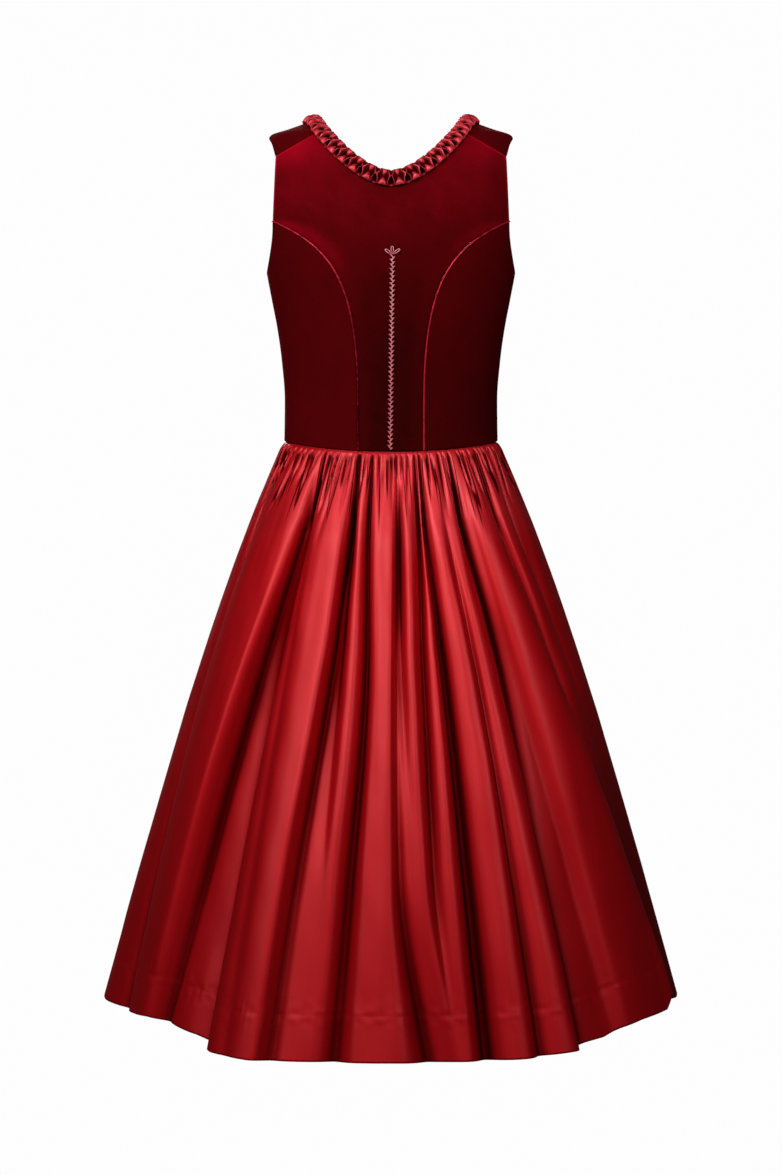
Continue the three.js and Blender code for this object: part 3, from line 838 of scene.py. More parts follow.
    def back_nap_and_light_of(self, sheet: Sheet) -> Array:
        """How light the pile of the back lies, before its clouds: painted light and shade.

        Args:
            sheet: Cloth of the back.

        Returns:
            The lightness at each point: painted highlights on the shoulders, along the edges and beside the
                curved seams, and painted shade below the neck, further down and a little on the wearer's
                right near the top.
        """
        x, z = sheet.points[..., 0], sheet.points[..., 2]
        along, up = sheet.lengths()
        below, edge = up[-1:] - up, np.minimum(along, along[:, -1:] - along)
        armhole, high_up = smoothstep(z, -120, -112), smoothstep(z, -230, -130)
        # Painted highlight on the shoulders.
        bright = lerp(*self.shoulder_highlight, smoothstep(x, -30, 30))
        shoulder = bright * np.exp(-(((np.abs(x) - 118) / 34) ** 2)) * smoothstep(z, -66, -24)
        # Painted shade below the neck.
        scoop = self.neck_shade * np.exp(-((below / 34) ** 2) - (x / 42) ** 2)
        # Painted highlight lines along the top and armhole edges.
        top_line, side_line = self.rim_highlight
        line = top_line * np.exp(-(((below - 2.4) / 1.1) ** 2)) * smoothstep(np.abs(x), 78, 84)
        line = line + side_line * np.exp(-(((edge - 2.6) / 1.3) ** 2)) * armhole
        # Painted light beside the curved seams.
        halo = 0.08 + lerp(*self.seam_highlight, smoothstep(x, -20, 20)) * high_up
        seam = halo * np.exp(-((edge / lerp(9, 15, high_up) - 0.7) ** 2)) * (1 - armhole)
        # Painted shade: darker further down, and a little on the wearer's right near the top.
        low = np.interp(z, self.light_heights, self.back_light_by_height)
        low = low - 0.01 * smoothstep(-x, 20, 60) * smoothstep(z, -130, -80)
        return low + shoulder + scoop + seam + line

    def nap(self, sheet: Sheet, name: str) -> Array:
        """How light the pile lies: its uneven tone, with painted light and shade on the back and the side
        panels.

        Args:
            sheet: Cloth of a panel.
            name: Name of the panel.

        Returns:
            The lightness at each point, from 0 where it is darkest to 1.
        """
        x, z = sheet.points[..., 0], sheet.points[..., 2]
        cloud = Ripple(90, 60, 0.03, 3).at(x, z) + Ripple(24, 30, 0.014, 4).at(x, z)
        if name == "back_centre":
            light = self.back_nap_and_light_of(sheet)
        else:
            # Side panels: their tone, with painted light.
            light = lerp(*self.side_nap_and_light.get(name, self.plain_nap), smoothstep(z, -340, -180))
        return np.clip(light + 0.5 * cloud, 0, 1)

    def piping(self, line: Line) -> tuple:
        """Round piping that lies in a curved seam.

        Args:
            line: The seam.

        Returns:
            The vertices, and the faces in one group.
        """
        x, travel = line(np.linspace(0.002, 0.996, 240)).T
        at = FIGURE.on_torso(x, travel)
        normal = FIGURE.normals(FIGURE.on_torso, x, travel)
        across = unit(np.cross(np.gradient(at, axis=0), normal))
        wave = Ripple(7, 1, 0.03, 8).at(at[:, 2], np.zeros(len(at)))
        swell = 1 + wave + 0.06 * smoothstep(at[:, 0], 100, 125)
        upright = self.piping_depth * normal / self.piping_fill
        radius = self.piping_fill * self.piping_radius * swell
        return tube(at + self.piping_lift * normal, across, upright, radius)

    def build(self) -> list[Piece]:
        """Makes every panel and the piping.

        Returns:
            The pieces.
        """
        made = []
        pipe = self.piping_radius + SEAM_GAP
        seam, edge, piped = Border.SEAM, Border.EDGE, Border.PIPED
        side = {"last": seam, "bottom": edge, "top": edge}
        pieces = [("back_centre", self.back_centre(), {**side, "first": piped, "last": piped})]
        for name, sheet, borders in [
            ("front_centre", self.front_centre(), {**side, "first": seam, "top": seam}),
            ("back_side", self.side(self.back_seam, 1, pipe), {**side, "first": piped}),
            ("front_side", self.side(self.front_curve, -1, SEAM_GAP / 2), {**side, "first": seam}),
        ]:
            pieces.append((f"{name}_left", sheet, borders))
            pieces.append((f"{name}_right", sheet.mirrored(), borders))
        for name, sheet, borders in pieces:
            # Lightness of the pile, with painted light and shade.
            sheet.extra["nap"] = self.nap(sheet, name)
            sheet.roll(borders)
            piece = cloth_object(f"velvet_{name}", sheet, self.velvet, self.backing, self.wall)
            settle(piece, "velvet", name)
            declare_cloth(piece, sheet)
            made.append(piece)
        points, faces = self.piping(self.back_seam)
        # Painted shade on the piping: uneven in short segments, deeper lower down on the wearer's left and
        # lighter lower down on the right.
        shade_segments = Ripple(5, 1, 0.3, 9).at(points[:, 2], np.zeros(len(points)))
        lower = 1 - smoothstep(points[:, 2], -340, -200)
        for name, sign, dull in (("left", 1, 0.8), ("right", -1, -0.3)):
            turned = faces if sign > 0 else [group[:, ::-1] for group in faces]
            shade = {"hollow": np.clip(0.15 + 0.7 * shade_segments + dull * lower, 0, 1)}
            piece = make_object(f"piping_{name}", points * [sign, 1, 1], turned, [self.satin], extra=shade)
            settle(piece, "satin", f"back_piping_{name}")
            made.append(piece)
        return made


# ---- Skirt ----
class Fold(NamedTuple):
    """A line down the skirt: its angle and how far it stands out, at four shares of the way down."""

    angle: Row
    relief: Row


class Gather(NamedTuple):
    """A small pleat below the waist: where it starts, in millimetres round the waist, and its size."""

    start: float
    drift: float
    length: float
    depth: float
    width: float
    fan: float = 1


@dataclass
class Skirt:
    """A skirt of two widths of satin, gathered into the waist and hemmed."""

    satin: Finish
    reverse: Finish
    waist_z: Callable[[Any], Any]
    wall: float = 1.2
    waist_side_z: float = -374
    hem_z: float = -1045
    hem_width: float = 349
    hem_back: float = 310
    hem_front: float = 302
    flare_spring: float = 41
    flare_rise: float = 197
    hem_band: float = 50
    columns: tuple[int, int] = (460, 280)
    swing: Pair = (1.1, 1.7)
    hem_level: float = 0.2
    hem_lift: Path = (
        (-84, 0), (-74, 5), (-66, 8), (-58, 12), (-52, 10), (-44, 5), (-40, 0), (-34, -6), (-25, -8),
        (-12, -5), (0, -4), (12, -5), (24, -6), (34, -4), (38.5, 1), (43, 3), (47, 10), (52, 14), (60, 16),
        (62.5, 30), (71, 20), (80, 6), (86, 0),
    )
    calm: Pair = (66, 80)
    edge_spread: Pair = (1.2, 4.4)
    trend_spread: float = 45
    calm_spread: float = 13
    roundness: float = 1.9
    fan: Pair = (0.42, 0.22)
    valley_pleat: Triple = (190, 8, 1.1)
    seam_pleat: Triple = (46, 9, 3.4)
    pleat_steps: Row = (3.2, 4.6, 6.2, 8.4, 11)
    step_odds: Row = (0.2, 0.27, 0.25, 0.18, 0.1)
    heights: Row = (0.12, 0.4, 0.7, 1)
    front_growth: Row = (0.4, 0.75, 0.92, 1)
    back_folds: tuple[Fold, ...] = (
        Fold((90, 90, 90, 90), (0, 0, 0, 0)),
        Fold((73, 73, 74, 75), (-3, -7, -16, -30)),
        Fold((41.5, 48.5, 55, 59.5), (5, 9, 0, -15)),
        Fold((36.7, 45.3, 51.4, 55), (-5, -16, -28, -39)),
        Fold((36, 44.6, 49.6, 53.4), (-5, -13, -22, -30)),
        Fold((34, 37, 37.6, 38), (-6, -18, -25, -27)),
        Fold((31, 30.6, 30, 30), (1, 5, 12, 18)),
        Fold((18.5, 20.6, 22.6, 23.4), (8, 15, 23, 28)),
        Fold((14.9, 17.9, 20.9, 22.6), (-7, -8, -2, 3)),
        Fold((14.5, 16.6, 18, 19.6), (-6, -2, 8, 14)),
        Fold((14, 14.6, 14.8, 15.4), (-7, -4, 6, 11.5)),
        Fold((11.6, 11.3, 12.6, 13.2), (3, 6, 9.5, 9)),
        Fold((8, 6.8, 8.8, 10.6), (-8, -11, -9, -8)),
        Fold((4.8, 4.2, 3.7, 3.2), (7, 9, 12, 14)),
        Fold((0, 0, -0.4, -1.6), (8, 12, 14, 15)),
        Fold((-2, -1.2, -1.4, -6.4), (-6, 0, -5, -9)),
        Fold((-2.4, -2, -4, -10.4), (-7, 5, 10, 3)),
        Fold((-2.9, -3.2, -5.2, -11.2), (-7, -2, 9, 4.5)),
        Fold((-5.6, -5.8, -7, -12), (8, 12, 12, 6.5)),
        Fold((-10.2, -9.4, -9.3, -12.7), (-7, -8, -5, 8)),
        Fold((-11.2, -12.4, -12.8, -13.9), (2, 9, 13, 10)),
        Fold((-12.6, -15.5, -16.5, -17.8), (-8, -13, -13, -13)),
        Fold((-17.4, -23.3, -24.6, -24.6), (6, 13, 19, 23)),
        Fold((-20.5, -25.2, -26.2, -27), (2, -4, -3, 1)),
        Fold((-24.5, -28.6, -31, -33), (4, 9, 19, 28)),
        Fold((-28.6, -34.6, -35.2, -35.6), (-10, -11, -3, 5)),
        Fold((-33.4, -39.5, -43.5, -46), (1, 1, 3, 7)),
        Fold((-39, -49.4, -57.4, -61), (7, 15, 19, 19)),
        Fold((-47.5, -56.7, -66, -70), (-4, -9, -18, -28)),
        Fold((-51, -62, -73, -77), (3, 1, -10, -20)),
        Fold((-61, -72, -79, -82), (-8, -11, -12, -14)),
        Fold((-90, -90, -90, -90), (0, 0, 0, 0)),
    )
    front_folds: tuple[Triple, ...] = (
        (-99, 0, -15), (-107, -1, -5), (-115, -2, -26), (-123, -3, 2), (-130, -2, -15), (-138, -2, 15),
        (-144, -2, -8), (-152, -2, 18), (-158, -1, -4), (-166, 0, 15), (-172, 0, -9), (-179, 0, 13),
        (-185, 0, -9), (-191, 1, 12), (-199, 1, -6), (-207, 2, 19), (-214, 2, -5), (-221, 1, 15),
        (-229, 2, -11), (-237, 3, 6), (-246, 2, -23), (-254, 1, -6), (-262, 0, -15),
    )
    tuck: Pair = (-2.6, 1.6)
    # How dark the painted shade on the wearer's right flank is.
    flank_shade: float = 0.45
    lining_reach: int = 4

    def __post_init__(self) -> None:
        """Joins the fold lines of both widths into one turn, and measures round the waist."""
        self.length = self.waist_side_z - self.hem_z
        growth = np.array(self.front_growth)
        front = [Fold(tuple(at + drift * growth), tuple(out * growth)) for at, drift, out in self.front_folds]
        first = self.back_folds[0]
        lines = [*self.back_folds, *front, Fold(tuple(a - 360 for a in first.angle), first.relief)]
        self.angles = np.array([line.angle for line in lines], float)
        self.reliefs = np.array([line.relief for line in lines], float)
        self.turn = np.linspace(90, -270, 3601)
        run = self.around(self.turn, np.zeros(1))[0][0]
        self.girth = np.concatenate([[0], np.cumsum(np.linalg.norm(np.diff(run, axis=0), axis=1))])

    def bell(self, fall: Any) -> Any:
        """How far the skirt springs out on its way down, at a distance below the waist."""
        return self.flare_spring * (1 - np.exp(-fall / self.flare_rise))

    def around(self, angle: Array, drop: Array) -> tuple[Array, Array]:
        """The skirt without its folds.

        Args:
            angle: Degrees from the centre back, over the wearer's left.
            drop: Shares of the way down.

        Returns:
            Points of the plain flared skirt and their level outward directions, one row for each drop.
        """
        waist = float(FIGURE.measure("width", self.waist_side_z))
        down = np.maximum(drop, 0)[:, None]
        straight = self.hem_width - waist - self.bell(self.length)
        spread = (straight * down + self.bell(self.length * down)) / (self.hem_width - waist)
        sine, cosine = np.sin(np.radians(angle)), np.cos(np.radians(angle))
        width = lerp(waist, self.hem_width, spread)
        behind = lerp(FIGURE.measure("back", self.waist_side_z), self.hem_back, spread)
        ahead = lerp(FIGURE.measure("front", self.waist_side_z), self.hem_front, spread)
        depth = np.where(cosine > 0, behind, ahead)
        power = 2 / lerp(FIGURE.power, 2, np.minimum(1, 3 * down))
        x = np.sign(sine) * width * np.abs(sine) ** power
        y = np.sign(cosine) * depth * np.abs(cosine) ** power
        z = lerp(self.waist_z(angle) - SEAM_GAP, self.hem_z, drop[:, None])
        outwards = unit(np.stack([x / width**2, y / depth**2, np.zeros(x.shape)], -1))
        return np.stack([x, y, z + np.zeros(x.shape)], -1), outwards

    def along_lines(self, place: Array, drop: Array) -> tuple[Array, Array]:
        """Course and relief of the folds.

        Args:
            place: Columns, where a whole number is a fold line, counted round from the left seam.
            drop: Shares of the way down.

        Returns:
            The angles and the reliefs, one row for each drop.
        """
        down = np.maximum(drop, self.heights[0])
        angles = np.stack([smooth_curve(self.heights, line, down) for line in self.angles], -1)
        reliefs = np.stack([smooth_curve(self.heights, line, down) for line in self.reliefs], -1)
        line = np.clip(place.astype(int), 0, len(self.angles) - 2)
        share = place - line
        here, after = reliefs[:, line], reliefs[:, line + 1]
        back = np.where(after > here, 1 - share, share)
        rise = (1 - back**self.roundness) ** (1 / self.roundness)
        relief = np.minimum(here, after) + np.abs(after - here) * rise
        grown = relief * smoothstep(drop, 0.01, 0.15)[:, None]
        return lerp(angles[:, line], angles[:, line + 1], share), grown

    def blurred(self, relief: Array, run: Array, spread: float) -> Array:
        """One row of the relief with its edges rounded.

        Args:
            relief: One row.
            run: Distances along the row.
            spread: How far an edge is rounded.

        Returns:
            The rounded row.
        """
        even = np.arange(0, run[-1], 1.0)
        reach = math.ceil(3 * spread)
        bell = np.exp(-((np.arange(-reach, reach + 1) / spread) ** 2) / 2)
        level = np.pad(np.interp(even, run, relief), reach, mode="edge")
        return np.interp(run, even, np.convolve(level, bell / bell.sum(), "valid"))

    def softened(self, relief: Array, run: Array, angle: Array, drop: Array) -> Array:
        """The relief with its edges rounded: more so further down, towards the side seams and in front.

        Args:
            relief: The rows.
            run: Distances along the rows.
            angle: Angles of the points.
            drop: Share of the way down of each row.

        Returns:
            The rounded rows.
        """
        soft = relief.copy()
        for row, share in enumerate(drop):
            sharp = lerp(*self.edge_spread, smoothstep(share, 0.05, 1))
            spreads = (sharp, self.trend_spread, self.calm_spread)
            near, trend, calm = (self.blurred(relief[row], run[row], spread) for spread in spreads)
            swing = near - trend
            deeper = trend + swing * np.where(swing > 0, self.swing[0], self.swing[1])
            held = smoothstep(np.minimum(run[row], run[row, -1] - run[row]), 0, 30)
            soft[row] = lerp(lerp(near, deeper, held), calm, smoothstep(np.abs(angle[row]), *self.calm))
        return soft

    def places(self, first: int, last: int, columns: int) -> Array:
        """Columns between two lines, shared out by the widest gap between each line and the next.

        Args:
            first: The first line.
            last: The last one.
            columns: How many columns lie between them.

        Returns:
            The places.
        """
        gaps = np.abs(np.diff(self.angles[first : last + 1], axis=0)).max(1)
        at = np.concatenate([[0], np.cumsum(gaps + 0.4)])
        return np.interp(np.linspace(0, at[-1], columns + 1), at, np.arange(first, last + 1))

    def falls(self, fine: float) -> Array:
        """Rows, close together at the gathers and round the hem's crease.

        Args:
            fine: Length of the steps, as a multiple of the finest.

        Returns:
            Distances below the waist.
        """
        top = [-7, -3, -1, 0, 0.6, 1.3, 2.2, 3.4]
        down = [np.arange(5, 90, 1.9 * fine), np.arange(90, 160, 3.4 * fine), np.arange(160, 590, 7.2 * fine)]
        low = [np.arange(592, 612, 4), np.arange(613, 632, 1.6 * fine), np.arange(634, 668, 4.2)]
        rows = np.concatenate([top, *down, *low, [self.length - 1.2, self.length]])
        return rows[:-1] if len(rows) % 2 == 0 else rows

    def gathers(self, first: int, last: int, seed: int) -> list[Gather]:
        """Pleats between two fold lines.

        Args:
            first: The first line.
            last: The last one.
            seed: Seed of what is uneven.

        Returns:
            The pleats: one that runs into each valley, and others between.
        """
        starts = np.interp(-self.angles[first : last + 1, 0], -self.turn, self.girth)
        relief = self.reliefs[first : last + 1, 0]
        middle = relief[1:-1]
        valleys = starts[1:-1][(middle < relief[:-2]) & (middle < relief[2:]) & (middle < -1)]
        found = [Gather(at, 0, *self.valley_pleat, 0) for at in valleys]
        draw, at = np.random.default_rng(seed), starts[0] + 4
        while at < starts[-1] - 3:
            length = draw.uniform(85, 120) if draw.random() < 0.15 else draw.uniform(38, 82)
            pleat = Gather(at, draw.normal(0, 0.05), length, draw.uniform(4.2, 8), draw.uniform(0.65, 1.15))
            if np.abs(valleys - at).min() > 3:
                found.append(pleat)
            at += draw.choice(self.pleat_steps, p=self.step_odds) * draw.uniform(0.85, 1.15)
        return [*found, Gather(starts[-1] - 12, 0.03, *self.seam_pleat, 0)] if first == 0 else found

    def gathered(self, girth: Array, fall: Array, pleats: Sequence[Gather]) -> Array:
        """Relief of the pleats.

        Args:
            girth: Places round the waist.
            fall: Distance of each row below it.
            pleats: The pleats.

        Returns:
            The relief.
        """
        relief = np.zeros(girth.shape)
        middle = (girth.min() + girth.max()) / 2
        half = (girth.max() - girth.min()) / 2
        for pleat in pleats:
            outward = (pleat.start - middle) / half
            rows = np.nonzero((fall > -2) & (fall < pleat.length))[0]
            down = np.maximum(fall[rows], 0)
            fan = self.fan[0 if outward < 0 else 1]
            path = pleat.start + (pleat.drift + pleat.fan * fan * outward * np.abs(outward) ** 0.5) * down
            fade = (1 - (down / pleat.length) ** 1.6) ** 1.4
            wide = pleat.width * (1 + down / 60)
            q = np.abs(girth[rows] - path[:, None]) / wide[:, None]
            relief[rows] -= (pleat.depth * fade)[:, None] * np.exp(-(q**1.35))
        edge = np.minimum(girth - girth.min(), girth.max() - girth)
        return relief * smoothstep(edge, 0, 5) * lerp(0.12, 1, smoothstep(fall, 0, 11))[:, None]

    def woven(self, girth: Array, fall: Array, seed: int) -> Array:
        """Relief of the cloth between its folds: slow waves, and a groove and puckers at the hem's stitches.

        Args:
            girth: Places round the waist.
            fall: Distance of each row below it.
            seed: Seed of what is uneven.

        Returns:
            The relief.
        """
        down = fall[:, None]
        waves = Ripple(16, 180, 0.1, seed + 1).at(girth, down)
        waves = waves + Ripple(40, 260, 0.3, seed + 2).at(girth, down)
        band = self.length - self.hem_band - fall
        groove = -0.12 * np.exp(-((band / 2.2) ** 2)) + 0.1 * smoothstep(-band, 0, 4)
        pucker = Ripple(11, 40, 0.22, seed + 3).at(girth * 1.6, down) * np.exp(-((band / 16) ** 2))[:, None]
        return waves + pucker + groove[:, None]

    def painted_fold_shade(self, out: Array, run: Array, fall: Array, pulled: Array, angle: Array) -> Array:
        """Painted shade, by how deep the cloth lies between its folds and pleats, and on the wearer's right
        flank lower down.

        Args:
            out: The whole relief.
            run: Distances along the rows.
            fall: Distance of each row below the waist.
            pulled: Relief of the pleats alone.
            angle: Angles of the points.

        Returns:
            How dark the painted shade is, from 0 to 1.
        """
        spread = lerp(4.5, 16, smoothstep(fall, 20, 120))
        level = np.array([self.blurred(*row) for row in zip(out, run, spread)])
        deepest = lerp(2.6, 10.5, smoothstep(fall, 30, 120))[:, None]
        hollow = smoothstep((level - out) / deepest, 0.12, 1)
        hollow *= np.maximum(smoothstep(-pulled, 0.6, 2.4), lerp(0.3, 1, smoothstep(fall, 35, 115))[:, None])
        low = smoothstep(fall / self.length, 0.25, 0.8)[:, None]
        # Painted shade on the wearer's right flank, lower down.
        return np.maximum(hollow, self.flank_shade * smoothstep(-angle, 60, 78) * low)

    def bloom(self, x: Array, fall: Array) -> Array:
        """How much light the gathers catch: most of all over the middle of the back."""
        aside = lerp(0.5, 0.85, smoothstep(x, -30, 30)) * smoothstep(np.abs(x), 40, 110)
        return (1 - smoothstep(fall, 55, 135))[:, None] * (1 - aside)

    def panel(self, first: int, last: int, columns: int, fine: float, seed: int) -> Sheet:
        """Cloth between two fold lines.

        Args:
            first: The first line.
            last: The last one.
            columns: Columns of the cloth.
            fine: Length of the steps down, as a multiple of the finest.
            seed: Seed of what is uneven.

        Returns:
            The cloth, with its inner face and what its finish needs.
        """
        place = self.places(first, last, columns)
        fall = self.falls(fine)
        drop = fall / self.length
        angle, relief = self.along_lines(place, drop)
        plain, outwards = self.around(angle, drop)
        plain[fall < 0, :, 2] -= fall[fall < 0, None]
        steps = np.linalg.norm(np.diff(plain, axis=1), axis=-1)
        run = np.concatenate([np.zeros((len(fall), 1)), np.cumsum(steps, 1)], 1)
        relief = self.softened(relief, run, angle, drop)
        girth = np.interp(-angle, -self.turn, self.girth)
        low, high = girth[0].min(), girth[0].max()
        nip, puff = self.tuck
        tuck = nip * (1 - smoothstep(fall, -0.8, 2.2))
        tuck = tuck + puff * smoothstep(fall, 0, 9) * np.exp(-np.maximum(fall, 0) / 45)
        base = plain + (relief + tuck[:, None])[..., None] * outwards
        normals = unit(np.cross(np.gradient(base, axis=1), np.gradient(base, axis=0)))
        if (normals * outwards).sum() < 0:
            normals = -normals
        pulled = self.gathered(girth, fall, self.gathers(first, last, seed))
        seams = smoothstep(np.minimum(girth - low, high - girth), 0, 6)
        grown = smoothstep(fall, 4, 60)[:, None] * seams
        out = relief + tuck[:, None] + (pulled + grown * self.woven(girth, fall, seed))
        near = self.lining_reach
        lining = np.min([np.roll(out, k, 1) for k in range(-near, near + 1)], axis=0)
        lining[:, :near], lining[:, -near:] = out[:, :near], out[:, -near:]
        # Painted shade in the folds and pleats, and painted highlight on the gathers.
        hollow = self.painted_fold_shade(out, run, fall, pulled, angle)
        bloom = self.bloom(plain[..., 0], fall)
        plain[..., 2] += self.hem_level * relief * smoothstep(drop, 0.3, 1)[:, None]
        lift = np.interp(-angle, *np.array(self.hem_lift).T)
        plain[..., 2] += lift * smoothstep(drop, 0.62, 1)[:, None] ** 1.5
        sheet = Sheet(
            plain + out[..., None] * outwards, normals,
            {"fall": fall[:, None] * MM + 0 * girth, "girth": girth * MM, "hollow": hollow, "bloom": bloom},
            plain + (lining - self.wall)[..., None] * outwards,
        )
        for border in ("first", "last"):
            sheet.inset(border, SEAM_GAP / 2)
        return sheet

    def build(self) -> list[Piece]:
        """Makes both widths of the skirt.

        Returns:
            The pieces.
        """
        made, seam, last = [], len(self.back_folds) - 1, len(self.angles) - 1
        for name, lines, columns, fine, seed in [
            ("back", (0, seam), self.columns[0], 1, 11),
            ("front", (seam, last), self.columns[1], 1.5, 31),
        ]:
            sheet = self.panel(*lines, columns, fine, seed)
            piece = cloth_object(f"satin_skirt_{name}", sheet, self.satin, self.reverse, self.wall, 2)
            settle(piece, "satin", f"skirt_{name}")
            declare_cloth(piece, sheet)
            made.append(piece)
        return made


# ---- Finishes ----
class Wire:
    """A socket that takes part in sums: each operator adds the Math node it stands for."""

    def __init__(self, board: "Board", socket: Any) -> None:
        """Keeps the socket and the tree that it belongs to."""
        self.board, self.socket = board, socket

    def sum(self, operation: str, *values: Any) -> "Wire":
        """One Math node with this operation."""
        return self.board.add("ShaderNodeMath", {"operation": operation}, dict(enumerate(values)))

    def __add__(self, other: Any) -> "Wire":
        """This plus the other."""
        return self.sum("ADD", self, other)

    __radd__ = __add__

    def __sub__(self, other: Any) -> "Wire":
        """This less the other."""
        return self.sum("SUBTRACT", self, other)

    def __rsub__(self, other: Any) -> "Wire":
        """The other less this."""
        return self.sum("SUBTRACT", other, self)

    def __mul__(self, other: Any) -> "Wire":
        """This times the other."""
        return self.sum("MULTIPLY", self, other)

    __rmul__ = __mul__

    def __truediv__(self, other: Any) -> "Wire":
        """This over the other."""
        return self.sum("DIVIDE", self, other)

    def __rtruediv__(self, other: Any) -> "Wire":
        """The other over this."""
        return self.sum("DIVIDE", other, self)

    def __pow__(self, other: Any) -> "Wire":
        """This to the power of the other."""
        return self.sum("POWER", self, other)

    def __abs__(self) -> "Wire":
        """The size of this."""
        return self.sum("ABSOLUTE", self)

    def within(self, low: float, high: float) -> "Wire":
        """0 up to low, 1 from high, and smooth between."""
        settings = {"interpolation_type": "SMOOTHSTEP"}
        return self.board.add("ShaderNodeMapRange", settings, {0: self, 1: low, 2: high, 3: 0.0, 4: 1.0})


class Board:
    """A node tree that is laid out by calls."""

    def __init__(self, tree: bpy.types.NodeTree) -> None:
        """Keeps the tree."""
        self.tree = tree

    def add(
        self, kind: str, settings: dict[str, Any] | None = None, inputs: dict | None = None, output: Any = 0
    ) -> Wire:
        """Adds a node.

        Args:
            kind: Type of the node.
            settings: Its settings by name, which are set first; "stops" are a ramp's.
            inputs: Values or links of its sockets, by name or number.
            output: The output that is wanted, by name or number.

        Returns:
            That output.
        """
        node = self.tree.nodes.new(kind)
        for name, value in (settings or {}).items():
            if name == "stops":
                self.set_stops(node.color_ramp, value)
            else:
                setattr(node, name, value)
        for key, value in (inputs or {}).items():
            self.feed(node.inputs[key], value)
        return Wire(self, node.outputs[output]) if len(node.outputs) else Wire(self, None)

    def set_stops(self, ramp: Any, stops: Sequence[tuple[float, tuple]]) -> None:
        """Gives a ramp its stops.

        Args:
            ramp: The ramp.
            stops: Its places and colours.
        """
        while len(ramp.elements) < len(stops):
            ramp.elements.new(0.5)
        for element, (place, colour) in zip(ramp.elements, stops):
            element.position, element.color = place, (*colour, 1)

    def feed(self, socket: Any, value: Any) -> None:
        """Links a wire to a socket or sets the socket's own value.

        Args:
            socket: A socket of a node.
            value: The wire, or the value.
        """
        if isinstance(value, Wire):
            self.tree.links.new(value.socket, socket)
        elif isinstance(value, tuple) and len(value) == 3 and socket.type == "RGBA":
            socket.default_value = (*value, 1)
        else:
            socket.default_value = value

    def mix(self, a: Any, b: Any, share: Any, blend: str = "MIX") -> Wire:
        """Blends two colours."""
        settings = {"data_type": "RGBA", "blend_type": blend, "clamp_factor": True}
        return self.add("ShaderNodeMix", settings, {0: share, 6: a, 7: b}, 2)

    def noise(self, vector: Any, scale: float, detail: float = 2, roughness: float = 0.5) -> Wire:
        """Noise between 0 and 1."""
        inputs = {"Vector": vector, "Scale": scale, "Detail": detail, "Roughness": roughness}
        return self.add("ShaderNodeTexNoise", None, inputs, 0)

    def attribute(self, name: str) -> Wire:
        """A number kept on the vertices."""
        return self.add("ShaderNodeAttribute", {"attribute_name": name}, None, "Fac")

    def object_place(self) -> Wire:
        """Object coordinates."""
        return self.add("ShaderNodeTexCoord", None, None, "Object")

    def stretched(self, vector: Any, scale: Triple) -> Wire:
        """Coordinates times a scale."""
        return self.add("ShaderNodeMapping", None, {"Vector": vector, "Scale": scale})

    def bump(self, height: Any, strength: float, distance: float, normal: Any = None) -> Wire:
        """A bump from a pattern.

        Args:
            height: The pattern.
            strength: How strongly it shows.
            distance: Its height in metres.
            normal: The normal that it starts from.

        Returns:
            The new normal.
        """
        inputs = {"Height": height, "Strength": strength, "Distance": distance}
        if normal is not None:
            inputs["Normal"] = normal
        return self.add("ShaderNodeBump", None, inputs)


def new_board(name: str) -> tuple[Finish, Board]:
    """An empty material and its board.

    Args:
        name: Name of the material.

    Returns:
        Both of them.
    """
    material = bpy.data.materials.new(name)
    material.use_nodes = True
    material.node_tree.nodes.clear()
    return material, Board(material.node_tree)


def surface(board: Board, **inputs: Any) -> None:
    """Ends a board in a Principled shader.

    Args:
        board: The board.
        inputs: Values of the shader, with underscores for the spaces in their names.
    """
    named = {key.replace("_", " "): value for key, value in inputs.items()}
    shader = board.add("ShaderNodeBsdfPrincipled", None, named)
    board.add("ShaderNodeOutputMaterial", None, {"Surface": shader})


